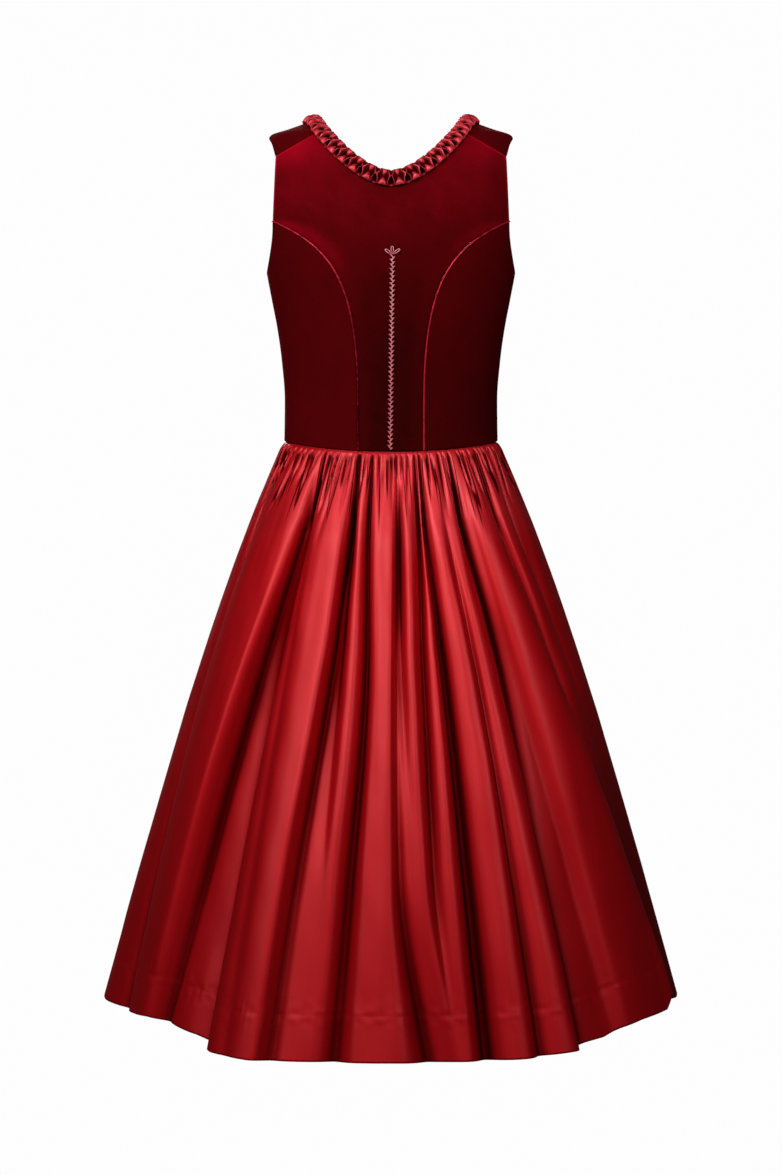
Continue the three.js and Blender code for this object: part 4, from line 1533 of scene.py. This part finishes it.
@dataclass(frozen=True)
class Velvet:
    """Cut-pile velvet, coloured by its lightness, which holds the pile's uneven tone and painted light and
    shade.
    """

    deep: Colour = (0.02, 0.0003, 0.0004)
    middle: Colour = (0.11, 0.0005, 0.002)
    bright: Colour = (0.42, 0.001, 0.012)
    pile: float = 1400
    # Colour of the painted shade beside the stitches, where they also press the pile down.
    pressed_pile_shadow: Colour = (0.004, 0.0001, 0.0001)
    stitched: tuple[Pair, Pair] = ((-0.0017, -0.158), (0.0009, -0.383))
    grain: float = 0.12
    # How strongly that painted shade shows.
    pressed_shade_strength: float = 0.85

    def pressed_and_shaded(self, board: Board, place: Wire) -> Wire:
        """Painted shade beside the stitches down the centre back and round the fan, where they also press the
        pile flat.

        Args:
            board: Board of the finish.
            place: Places on the cloth.

        Returns:
            How strong the painted shade is, from 0 to 1.
        """
        x, y, z = (board.add("ShaderNodeSeparateXYZ", None, {0: place}, axis) for axis in "XYZ")
        (top_x, top_z), (foot_x, foot_z) = self.stitched
        down = z * -1 + top_z
        off = abs(x - top_x - down * ((foot_x - top_x) / (top_z - foot_z)))
        column = (1 - off.within(0.0016, 0.0036)) * down.within(-0.001, 0.001)
        column = column * (z - foot_z).within(-0.001, 0.001)
        from_top = ((x - top_x) ** 2 + down**2) ** 0.5
        fan = (1 - from_top.within(0.007, 0.013)) * (1 - down.within(-0.002, 0.002)) * 0.55
        return column.sum("MAXIMUM", column, fan) * y.within(0, 0.02)

    def material(self) -> Finish:
        """Builds the finish.

        Returns:
            The material.
        """
        made, board = new_board("wine velvet")
        place = board.object_place()
        speckle = board.noise(place, self.pile, 3, 0.7)
        tuft = board.noise(place, self.pile / 4, 4, 0.65)
        patch = board.noise(place, 60, 4, 0.6)
        # The lightness carries painted light and shade as well as the pile's own uneven tone.
        light = board.attribute("nap") + (patch - 0.5) * 0.08
        light = light + (tuft - 0.5) * self.grain + (speckle - 0.5) * self.grain
        stops = [(0, self.deep), (0.45, self.middle), (1, self.bright)]
        colour = board.add("ShaderNodeValToRGB", {"stops": stops}, {0: light})
        # Painted shade beside the stitches, where they also press the pile down.
        colour = board.mix(colour, self.pressed_pile_shadow, self.pressed_and_shaded(board, place) * self.pressed_shade_strength)
        normal = board.bump(speckle + tuft, 0.5, 0.0005)
        surface(
            board, Base_Color=colour, Roughness=0.9, Specular_IOR_Level=0.03, Sheen_Weight=0.08,
            Sheen_Roughness=0.3, Sheen_Tint=(0.9, 0.01, 0.04, 1), Normal=normal,
        )
        return made


@dataclass(frozen=True)
class Satin:
    """Polyester satin: a tight weave with a soft bright sheen, with painted shade in its folds and lower down
    and a painted highlight on its gathers.
    """

    name: str = "red satin"
    base: Colour = (0.56, 0.002, 0.007)
    shade: Colour = (0.48, 0.001, 0.004)
    # Painted shade lower down, and a painted highlight on the gathers below the waist.
    low: Colour = (0.36, 0.001, 0.004)
    high: Colour = (0.78, 0.03, 0.042)
    # Painted shade in the folds, pleats and grooves, and painted black shade where it is deepest.
    depth: Colour = (0.05, 0.0001, 0.0003)
    darkest_shade: Colour = (0.004, 0, 0)
    metallic: float = 0.6
    roughness: float = 0.58
    coat: float = 0.32
    coat_roughness: float = 0.36
    threads: float = 2600

    def shaded_slits(self, board: Board) -> Wire:
        """Painted shade of the finest pleats below the waist, with their bump: thin uneven lines that fade on
        their way down.

        Args:
            board: Board of the finish.

        Returns:
            Where they are, from 0 to 1.
        """
        fall, girth = board.attribute("fall"), board.attribute("girth")
        at = board.add("ShaderNodeCombineXYZ", None, {"X": girth * 120, "Y": fall * 5})
        off = abs(board.noise(at, 1, 1) - 0.5)
        end = 0.05 + (board.noise(at, 0.6, 1) - 0.5) * 0.12
        fade = fall.within(0.004, 0.012) * (1 - (fall - end).within(0, 0.03))
        return (1 - off.within(0.012, 0.04)) * fade

    def material(self) -> Finish:
        """Builds the finish.

        Returns:
            The material.
        """
        made, board = new_board(self.name)
        place = board.object_place()
        cloud = board.noise(place, 16, 3)
        slub = board.noise(board.stretched(place, (1, 1, 0.05)), 900, 2)
        weave = board.noise(place, self.threads, 1)
        colour = board.mix(self.shade, self.base, (cloud + slub * 0.35).within(0.2, 0.85))
        # Painted shade lower down the skirt, and a painted highlight on the gathers below the waist.
        lower = board.attribute("fall").within(0.1, 0.68)
        bloom = board.attribute("bloom")
        colour = board.mix(board.mix(colour, self.low, lower), self.high, bloom * 0.75)
        # Painted shade in the finest pleats and in the folds, pleats and grooves.
        shaded_slit = self.shaded_slits(board)
        hollow = shaded_slit.sum("MAXIMUM", shaded_slit, board.attribute("hollow"))
        colour = board.mix(colour, self.depth, hollow * 0.9)
        rough = self.roughness + (slub - 0.5) * 0.08
        normal = board.bump(slub, 0.3, 0.0002, board.bump(shaded_slit * -1, 0.8, 0.0012))
        normal = board.bump(weave, 0.25, 0.0001, normal)
        # Painted black shade where the painted shade is deepest.
        colour = board.mix(colour, self.darkest_shade, hollow - 1)
        # Where shade is painted, the cloth turns fully metallic and loses its coat, so it shows no highlight;
        # the coat grows with the painted highlight and shrinks lower down.
        held = hollow.sum("MINIMUM", hollow, 1)
        gloss = self.coat * (1 - held) * (1 - lower * 0.4 + bloom * 0.8)
        surface(
            board, Base_Color=colour, Metallic=self.metallic + held * (1 - self.metallic), Roughness=rough,
            Specular_IOR_Level=0.1, Coat_Weight=gloss, Coat_Roughness=self.coat_roughness, Normal=normal,
        )
        return made


@dataclass(frozen=True)
class Backing:
    """The matt reverse of a cloth, with its weave."""

    name: str
    colour: Colour
    threads: float = 1500

    def material(self) -> Finish:
        """Builds the finish.

        Returns:
            The material.
        """
        made, board = new_board(self.name)
        place = board.object_place()
        weave = board.noise(place, self.threads, 2)
        dull = tuple(c * 0.6 for c in self.colour)
        colour = board.mix(dull, self.colour, (weave + board.noise(place, 40, 3)).within(0.7, 1.3))
        surface(board, Base_Color=colour, Roughness=0.75, Normal=board.bump(weave, 0.5, 0.0002))
        return made


@dataclass(frozen=True)
class Thread:
    """Twisted embroidery thread."""

    colour: Colour = (1.0, 0.37, 0.39)
    shade: Colour = (1.0, 0.17, 0.2)
    low: Colour = (0.85, 0.13, 0.16)
    # Colour towards the outer ends of each stitch and where the fan's loops meet.
    tail_tone: Colour = (0.5, 0.008, 0.03)

    def material(self) -> Finish:
        """Builds the finish.

        Returns:
            The material.
        """
        made, board = new_board("rose thread")
        place = board.object_place()
        strands = board.noise(place, 2600, 2)
        height = board.add("ShaderNodeSeparateXYZ", None, {0: place}, "Z")
        colour = board.mix(self.shade, self.colour, strands.within(0.3, 0.6))
        colour = board.mix(self.low, colour, height.within(-0.34, -0.2))
        colour = board.mix(colour, self.tail_tone, board.attribute("tail"))
        surface(
            board, Base_Color=colour, Roughness=0.35, Specular_IOR_Level=0.7, Coat_Weight=0.4,
            Coat_Roughness=0.35, Sheen_Weight=0.6, Sheen_Roughness=0.4,
            Normal=board.bump(strands, 0.3, 0.0001),
        )
        return made


# ---- Trims that repeat along a line ----
@dataclass
class Ribbon:
    """A strip of the dress that a motif repeats along: its two edges and their normals, in millimetres."""

    low: Array
    high: Array
    low_normal: Array
    high_normal: Array


class Repeater:
    """A Geometry Nodes tree that lays a motif end to end along a ribbon.

    The motif's x counts repeats, its y goes from the ribbon's low edge at 0 to its high edge at 1, and its
    z is a height in metres.
    """

    SIZES = (
        ("Motif", "NodeSocketObject"), ("Count", "NodeSocketInt"), ("Unevenness", "NodeSocketFloat"),
        ("Slide", "NodeSocketFloat"), ("Seed", "NodeSocketFloat"), ("Finish", "NodeSocketMaterial"),
    )

    LINES = ("low", "high", "low_normal", "high_normal")

    def __init__(self) -> None:
        """Builds the tree."""
        tree = bpy.data.node_groups.new("repeat along ribbon", "GeometryNodeTree")
        tree.interface.new_socket("Geometry", in_out="INPUT", socket_type="NodeSocketGeometry")
        self.inputs = {
            name: tree.interface.new_socket(name, in_out="INPUT", socket_type=kind).identifier
            for name, kind in self.SIZES
        }
        tree.interface.new_socket("Geometry", in_out="OUTPUT", socket_type="NodeSocketGeometry")
        self.tree, board = tree, Board(tree)
        given = tree.nodes.new("NodeGroupInput")
        size = {name: Wire(board, given.outputs[name]) for name, _ in (("Geometry", ""), *self.SIZES)}
        line = board.add("GeometryNodeMeshToCurve", None, {"Mesh": size["Geometry"]})
        motif = board.add("GeometryNodeObjectInfo", None, {"Object": size["Motif"]}, "Geometry")
        row = board.add(
            "GeometryNodeMeshLine", {"mode": "OFFSET"},
            {"Count": size["Count"], "Start Location": (0.5, 0, 0), "Offset": (1.0, 0, 0)},
        )
        laid = board.add("GeometryNodeInstanceOnPoints", None, {"Points": row, "Instance": motif})
        real = board.add("GeometryNodeRealizeInstances", None, {"Geometry": laid})
        place = board.add("GeometryNodeInputPosition")
        x, y, z = (board.add("ShaderNodeSeparateXYZ", None, {0: place}, k) for k in range(3))
        wander = board.add("ShaderNodeCombineXYZ", None, {"X": x * 0.8, "Y": y * 1.5})
        noise = {"Vector": wander, "W": size["Seed"], "Scale": 1.0, "Detail": 1.0}
        solid = {"noise_dimensions": "4D"}
        slow = board.add("ShaderNodeTexNoise", solid, noise) - 0.5
        tall = board.add("ShaderNodeTexNoise", solid, {**noise, "W": size["Seed"] + 7}) - 0.5
        share = (x + slow * size["Slide"]) / size["Count"]
        high = z * (1 + tall * size["Unevenness"])
        vector, found = {"data_type": "FLOAT_VECTOR"}, []
        for name in self.LINES:
            kept = board.add("GeometryNodeInputNamedAttribute", vector, {"Name": name})
            inputs = {"Curves": line, "Factor": share, "Value": kept}
            found.append(board.add("GeometryNodeSampleCurve", vector, inputs))
        base, normal = self.blend(board, *found[:2], y), self.blend(board, *found[2:], y)
        lift = board.add("ShaderNodeVectorMath", {"operation": "SCALE"}, {0: normal, "Scale": high})
        goal = board.add("ShaderNodeVectorMath", {"operation": "ADD"}, {0: base, 1: lift})
        moved = board.add("GeometryNodeSetPosition", None, {"Geometry": real, "Position": goal})
        joined = board.add("GeometryNodeMergeByDistance", None, {"Geometry": moved, "Distance": 2e-6})
        smooth = board.add("GeometryNodeSetShadeSmooth", None, {"Geometry": joined, "Shade Smooth": True})
        whole = board.add("GeometryNodeRealizeInstances", None, {"Geometry": smooth})
        dressed = board.add("GeometryNodeSetMaterial", None, {"Geometry": whole, "Material": size["Finish"]})
        board.add("NodeGroupOutput", None, {"Geometry": dressed})

    @staticmethod
    def blend(board: Board, a: Wire, b: Wire, share: Wire) -> Wire:
        """Blends two vectors."""
        settings = {"data_type": "VECTOR", "clamp_factor": False}
        return board.add("ShaderNodeMix", settings, {0: share, 4: a, 5: b}, 1)

    def lay(self, name: str, ribbon: Ribbon, motif: tuple, sizes: dict[str, Any]) -> Piece:
        """Runs the tree and keeps its result as a plain mesh.

        Args:
            name: Name of the piece.
            ribbon: Where the motifs go.
            motif: Vertices, groups of faces and extra numbers of one motif; the heights are in millimetres.
            sizes: The tree's inputs by name, apart from the motif.

        Returns:
            The finished piece.
        """
        count = len(ribbon.low)
        middle = (ribbon.low + ribbon.high) / 2
        line = make_object(f"{name}_line", middle, [], [])
        line.data.edges.add(count - 1)
        ends = np.stack([np.arange(count - 1), np.arange(1, count)], -1)
        line.data.edges.foreach_set("vertices", ends.astype(np.int32).ravel())
        for key in self.LINES:
            values = getattr(ribbon, key) * (1 if key.endswith("normal") else MM)
            kept = line.data.attributes.new(key, "FLOAT_VECTOR", "POINT")
            kept.data.foreach_set("vector", values.astype(np.float32).ravel())
        points, faces, extra = motif
        shape = make_object(f"{name}_motif", points * [1 / MM, 1 / MM, 1], faces, [], extra=extra)
        modifier = line.modifiers.new("repeat", "NODES")
        modifier.node_group = self.tree
        for key, value in {**sizes, "Motif": shape}.items():
            modifier[self.inputs[key]] = value
        seen = line.evaluated_get(bpy.context.evaluated_depsgraph_get())
        mesh = bpy.data.meshes.new_from_object(seen)
        mesh.name = name
        self.close(mesh)
        piece = bpy.data.objects.new(name, mesh)
        bpy.context.scene.collection.objects.link(piece)
        for scrap in (line, shape):
            bpy.data.meshes.remove(scrap.data)
        return piece

    @staticmethod
    def close(mesh: bpy.types.Mesh) -> None:
        """Fills what is open at the ends and turns the faces out.

        Args:
            mesh: The mesh.
        """
        shape = bmesh.new()
        shape.from_mesh(mesh)
        rims = [edge for edge in shape.edges if edge.is_boundary]
        if rims:
            bmesh.ops.holes_fill(shape, edges=rims, sides=0)
        bmesh.ops.recalc_face_normals(shape, faces=shape.faces)
        shape.to_mesh(mesh)
        shape.free()


@dataclass
class NeckRuche:
    """A strip of satin pleated into cells whose edges are caught together in the middle, round the neck."""

    bodice: Bodice
    satin: Finish
    repeater: Repeater
    width: float = 19.5
    overhang: float = 1.5
    clearance: float = 1.2
    cells: int = 51
    pitch: float = 17
    wall: float = 0.5
    tip: float = 0.5
    rows: Row = (0, 2.4, 5.4, 7.8, 8.8, 9.8, 12, 14.6, 17.2, 19.5)
    lip_at: Row = (3.4, 3.3, 2.3, 0.9, 0.4, 0.9, 2.1, 3.0, 3.5, 3.6)
    facet_at: Row = (5.4, 6.0, 7.2, 8.1, 8.3, 8.2, 7.5, 6.2, 5.0, 4.2)
    mouth: Row = (-0.6, -0.6, 0.0, 3.6, 5.4, 3.4, -0.6, -0.9, -0.9, -0.8)
    lip: Row = (1.6, 3.8, 5.2, 5.8, 5.6, 6.0, 6.2, 5.6, 4.4, 2.6)
    groove: Row = (0.2, 0.6, 0.8, 1.0, 1.2, 1.0, 0.3, 0.0, -0.2, -0.4)
    facet: Row = (1.6, 2.6, 2.6, 1.8, 1.4, 1.6, 2.6, 3.2, 2.9, 1.8)
    ridge: Row = (1.8, 3.2, 3.0, 2.0, 1.4, 1.8, 3.4, 4.4, 4.0, 2.6)
    # Painted shade in the mouths, in the grooves and over the ridges, at the same rows.
    mouth_shade: Row = (0.7, 1.1, 1.2, 0.4, 0, 0.8, 1.8, 1.7, 1.0, 0.5)
    groove_shade: Row = (0.6, 0.9, 1.3, 1.5, 1.5, 1.6, 1.5, 1.1, 0.7, 0.4)
    ridge_shade: Row = (0.1, 0, 0.3, 0.9, 1.1, 0.9, 0.2, 0, 0, 0)
    steps: tuple[int, ...] = (4, 3, 2, 3)
    fine_rows: int = 18
    cut_width: float = 0.028

    @staticmethod
    def eased(part: int, t: float) -> Triple:
        """Shares of the way across, up and into the painted shade, at a share t of one part of the cell."""
        up = {0: t * t * (3 - 2 * t), 1: 1 - (1 - t) ** 2.2}.get(part, t)
        return t if part else t**0.6, up, t**0.8 if part == 1 else t**1.45

    def motif(self) -> tuple:
        """One cell, with its pinch in the middle.

        Returns:
            The vertices, the groups of faces, and how deep the painted shade on the vertices is.
        """
        v = crowded(self.fine_rows, 0, self.width, 0.2)
        none, half = np.zeros(len(v)), np.full(len(v), self.pitch / 2)
        names = (
            "lip_at", "facet_at", "mouth", "lip", "groove", "facet", "ridge",
            "mouth_shade", "groove_shade", "ridge_shade",
        )
        at = {name: smooth_curve(self.rows, getattr(self, name), v) for name in names}
        groove_at = lerp(at["lip_at"], at["facet_at"], 0.55)
        places = [none, at["lip_at"], groove_at, at["facet_at"], half]
        heights = [at[name] for name in ("mouth", "lip", "groove", "facet", "ridge")]
        # Painted shade of each part of the cell.
        darks = [at["mouth_shade"], none, at["groove_shade"], at["ridge_shade"], at["ridge_shade"]]
        x, h, dark = [places[0]], [heights[0]], [darks[0]]
        for part, count in enumerate(self.steps):
            for step in range(1, count + 1):
                shares = self.eased(part, step / count)
                for kept, knots, share in zip((x, h, dark), (places, heights, darks), shares):
                    kept.append(lerp(knots[part], knots[part + 1], share))
        x, h, dark = (np.stack(table, -1) for table in (x, h, dark))
        x = np.concatenate([-x[:, :0:-1], x], 1)
        h, dark = (np.concatenate([table[:, :0:-1], table], 1) for table in (h, dark))
        frill = self.tip * np.exp(-(((np.abs(x) - 4.4) / 1.3) ** 2)) * np.exp(-v[:, None] / 1.2)
        across = np.broadcast_to(v[:, None], x.shape) - frill
        top = np.stack([x / self.pitch, across / self.width, h + self.clearance + self.wall], -1)
        bottom = top - [0, 0, self.wall]
        rows, columns = x.shape
        shift = rows * columns
        quads = face_grid(rows, columns)
        low, high = np.arange(columns - 1), (rows - 1) * columns + np.arange(columns - 1)
        rims = [np.stack([e, e + shift, e + 1 + shift, e + 1], -1) for e in (low, high)]
        faces = [quads, quads[:, ::-1] + shift, rims[0], rims[1][:, ::-1]]
        points = np.vstack([top.reshape(-1, 3), bottom.reshape(-1, 3)])
        return points, faces, {"hollow": np.tile(dark.ravel(), 2)}

    def ribbon(self) -> Ribbon:
        """The whole neck edge, from the centre front over the wearer's left shoulder and round again.

        Returns:
            The strip of the dress that the cells lie on.
        """
        front = self.bodice.front_neck(np.linspace(0, 1, 260))
        back = self.bodice.back_neck(np.linspace(1, 0, 110))[1:]
        x, travel = np.vstack([front, back]).T
        at, normal = FIGURE.on_torso(x, travel), FIGURE.normals(FIGURE.on_torso, x, travel)
        flip = [-1, 1, 1]
        at, normal = np.vstack([at, at[-2::-1] * flip]), np.vstack([normal, normal[-2::-1] * flip])
        onto = unit(np.cross(np.gradient(at, axis=0), normal))
        onto *= np.sign(onto[0] @ np.array([0, 0, -1]))
        onto[0] = onto[-1] = (0, 0, -1)
        low = at - self.overhang * onto
        reach = at + (self.width - self.overhang) * onto
        travel = FIGURE.travel_of(reach)
        high = FIGURE.on_torso(reach[:, 0], travel)
        high_normal = FIGURE.normals(FIGURE.on_torso, reach[:, 0], travel)
        gap = np.linspace(1, -1, len(at))[:, None] * [SEAM_GAP / 2, 0, 0]
        ends = np.exp(-np.minimum(np.arange(len(at)), np.arange(len(at))[::-1]) / 4)[:, None]
        return Ribbon(low + gap * ends, high + gap * ends, normal, high_normal)

    def build(self) -> Piece:
        """Makes the ruche.

        Returns:
            The piece.
        """
        sizes = {"Count": self.cells, "Unevenness": 0.45, "Slide": 0.16, "Seed": 3.0, "Finish": self.satin}
        piece = self.repeater.lay("satin_neck_ruche", self.ribbon(), self.motif(), sizes)
        settle(piece, "satin", "neck_ruche")
        area = sum(face.area for face in piece.data.polygons) / 2
        flat = (round(area / self.cut_width, 3), self.cut_width)
        return piece


@dataclass
class Embroidery:
    """Feather stitch down the centre back, under a fan of three looped stitches."""

    thread: Finish
    repeater: Repeater
    top: Pair = (-1.7, -159)
    foot: Pair = (0.9, -382)
    pitch: float = 5.4
    reach: float = 2.9
    cross: float = 1.2
    radius: float = 0.72
    half_width: float = 6
    loops: Path = ((-54, 10), (2, 9.4), (56, 10))
    loop_half: float = 1.8
    loop_radius: float = 0.54

    def on_velvet(self, x: Array, z: Array) -> tuple[Array, Array]:
        """Points of the back and their normals, at x and z."""
        at = FIGURE.on_side(x, z, 1)
        return at, FIGURE.normals(lambda a, b: FIGURE.on_side(a, b, 1), x, z)

    def stroke(self, sign: float, start: float) -> tuple:
        """One stitch, from the outside over the middle and down beside the next one.

        Args:
            sign: 1 for a stitch from the wearer's left, -1 for one from the right.
            start: Where it starts, down the column.

        Returns:
            The vertices and faces in the motif's own measures, and how dark each vertex is.
        """
        t = np.linspace(0, 1, 9)[:, None]
        a = np.array([start, sign * self.reach, 0.12])
        b = np.array([start + 2.6, sign * self.cross * 0.4, 0.5])
        c = np.array([start + 4.6, -sign * self.cross, 0.2])
        path = a * (1 - t) ** 2 + 2 * b * t * (1 - t) + c * t * t
        along = unit(np.gradient(path, axis=0))
        across = unit(np.cross(along, [0, 0, 1]))
        points, faces = tube(path, across, unit(np.cross(across, along)), self.radius, 6)
        tail = smoothstep(sign * points[:, 1], 1.2, 2.6)
        scaled = points / [self.pitch, 2 * self.half_width, 1] + [0, 0.5, self.radius * 0.6]
        return scaled, faces, tail

    def column(self) -> Piece:
        """The column of feather stitch.

        Returns:
            The piece.
        """
        z = np.linspace(self.top[1] + 2, self.foot[1], 120)
        x = np.interp(z, [self.foot[1], self.top[1]], [self.foot[0], self.top[0]])
        at, normal = self.on_velvet(x, z)
        side = np.array([self.half_width, 0, 0])
        ribbon = Ribbon(at - side, at + side, normal, normal)
        first, second = self.stroke(1, -self.pitch / 2), self.stroke(-1, 0)
        shift = len(first[0])
        tails = {"tail": np.concatenate([first[2], second[2]])}
        motif = np.vstack([first[0], second[0]]), [first[1][0], second[1][0] + shift], tails
        length = float(np.linalg.norm(np.diff(at, axis=0), axis=1).sum())
        count = round(length / self.pitch)
        sizes = {"Count": count, "Unevenness": 0.5, "Slide": 0.3, "Seed": 5.0, "Finish": self.thread}
        return self.repeater.lay("feather_stitch", ribbon, motif, sizes)

    def fan(self) -> Piece:
        """Three loops that open upwards from the top of the column.

        Returns:
            The piece.
        """
        points, faces, tails, base = [], [], [], np.array(self.top) + [0, 1.4]
        for lean, length in self.loops:
            turn = np.linspace(0, 2 * math.pi, 29)[:-1]
            along = length * (1 - np.cos(turn)) / 2
            aside = self.loop_half * np.sin(turn) * (along / length) ** 0.6
            c, s = math.cos(math.radians(lean)), math.sin(math.radians(lean))
            x, z = base[0] + along * s + aside * c, base[1] + along * c - aside * s
            at, normal = self.on_velvet(np.append(x, x[:1]), np.append(z, z[:1]))
            across = unit(np.cross(np.gradient(at, axis=0), normal))
            found, group = tube(at + normal * self.loop_radius, across, normal, self.loop_radius, 6)
            faces.append(group[0] + sum(len(p) for p in points))
            points.append(found)
            tails.append(1 - smoothstep(np.hypot(found[:, 0] - base[0], found[:, 2] - base[1]), 1.5, 6))
        extra = {"tail": np.concatenate(tails)}
        return make_object("fan_stitch", np.vstack(points), faces, [self.thread], extra=extra)

    def build(self) -> list[Piece]:
        """Makes the stitches.

        Returns:
            The pieces.
        """
        made = [self.column(), self.fan()]
        for piece in made:
            settle(piece, "satin")
        return made


# ---- Studio ----
@dataclass(frozen=True)
class Studio:
    """The floor, the backdrop, the lights and the camera."""

    eye: Triple = (0, 3.0, -0.33)
    pitch: float = 4.18
    lens: float = 76.6
    floor_z: float = -1.5
    radius: float = 12
    sides: int = 64
    white: float = 0.985
    air: float = 0.025
    middle: Triple = (0, 0, -0.55)

    def camera(self) -> None:
        """Puts the camera behind the dress, a little above its waist."""
        data = bpy.data.cameras.new("camera")
        data.lens, data.sensor_width, data.clip_end = self.lens, 36, 60
        camera = bpy.data.objects.new("camera", data)
        camera.location = self.eye
        camera.rotation_euler = (math.radians(90 - self.pitch), 0, math.pi)
        bpy.context.scene.collection.objects.link(camera)
        bpy.context.scene.camera = camera

    def panel_light(self, name: str, at: tuple, aim: tuple, size: Pair, power: float) -> None:
        """Adds a soft box that faces a point.

        Args:
            name: Name of the light.
            at: Where it stands, in metres.
            aim: The point.
            size: Its width and height.
            power: Its power in watts.
        """
        data = bpy.data.lights.new(name, "AREA")
        data.shape, data.size, data.size_y, data.energy = "RECTANGLE", *size, power
        light = bpy.data.objects.new(name, data)
        eye, goal = np.array(at, float), np.array(aim, float)
        back = unit(eye - goal)
        side = unit(np.cross((0, 0, 1), back))
        place = np.eye(4)
        place[:3] = np.stack([side, np.cross(back, side), back, eye], -1)
        light.matrix_world = place.T
        light.visible_camera = False
        bpy.context.scene.collection.objects.link(light)

    def ring(self, radius: float, z: float) -> Array:
        """Points of a level ring."""
        turn = np.linspace(0, 2 * math.pi, self.sides, endpoint=False)
        return np.stack([radius * np.cos(turn), radius * np.sin(turn), np.full(self.sides, z)], -1)

    def backdrop(self) -> None:
        """Adds the pale floor and the dome round it."""
        made, board = new_board("studio white")
        glow = board.add("ShaderNodeEmission", None, {"Color": (1.0, 1.0, 1.0), "Strength": self.white})
        board.add("ShaderNodeOutputMaterial", None, {"Surface": glow})
        rise = np.linspace(0, math.pi / 2, 13)[:-1]
        low, radius, sides = self.floor_z * 1000, self.radius * 1000, self.sides
        rings = [self.ring(radius * math.cos(a), low + radius * math.sin(a)) for a in rise]
        points = np.vstack([*rings, [(0, 0, low + radius)]])
        a = (np.arange(len(rise) - 1)[:, None] * sides + np.arange(sides)).ravel()
        b = np.where(a % sides == sides - 1, a - sides + 1, a + 1)
        last = (len(rise) - 1) * sides
        cap = np.array([(last + k, last + (k + 1) % sides, len(points) - 1) for k in range(sides)])
        walls = np.stack([a, a + sides, b + sides, b], -1)
        dome = make_object("studio_dome", points, [walls, cap[:, ::-1]], [made])
        floor = make_object("studio_floor", self.ring(radius, low), [np.arange(sides)[None]], [made])
        for thing in (dome, floor):
            thing.visible_diffuse = thing.visible_glossy = thing.visible_shadow = False

    def build(self) -> None:
        """Sets up the whole studio."""
        self.camera()
        self.backdrop()
        scene = bpy.context.scene
        scene.view_settings.view_transform = "Standard"
        scene.world = bpy.data.worlds.new("studio air")
        scene.world.use_nodes = True
        shade = scene.world.node_tree.nodes["Background"]
        shade.inputs["Color"].default_value = (1, 1, 1, 1)
        shade.inputs["Strength"].default_value = self.air
        self.panel_light("key", (1.5, 3.9, 2.5), self.middle, (3.0, 1.8), 150)
        self.panel_light("left", (3.3, 2.3, 1.4), self.middle, (1.6, 2.2), 45)
        self.panel_light("right", (-2.0, 3.7, 1.8), self.middle, (1.8, 1.8), 57)
        self.panel_light("front", (0.6, -3.8, 1.6), self.middle, (2.4, 2.4), 105)
        log.info("studio ready")


def main() -> None:
    """Builds the dress and its studio."""
    logging.basicConfig(level=logging.INFO, format="%(name)s: %(message)s")
    velvet, satin = Velvet().material(), Satin().material()
    backing = Backing("velvet reverse", (0.1, 0.004, 0.008)).material()
    reverse = Backing("satin reverse", (0.22, 0.008, 0.014)).material()
    piping = Satin("piping satin", (0.8, 0.012, 0.05), (0.66, 0.006, 0.03), coat=0.7)
    bodice = Bodice(velvet, backing, piping.material())
    bodice.build()
    Skirt(satin, reverse, bodice.waist_z).build()
    repeater = Repeater()
    # The ruche has a brighter, pinker copy of the skirt's satin: a painted highlight.
    pleated = Satin("pleated satin", (0.84, 0.055, 0.08), (0.5, 0.014, 0.026), coat=0.5)
    NeckRuche(bodice, pleated.material(), repeater).build()
    Embroidery(Thread().material(), repeater).build()
    Studio().build()


if __name__ == "__main__":
    main()
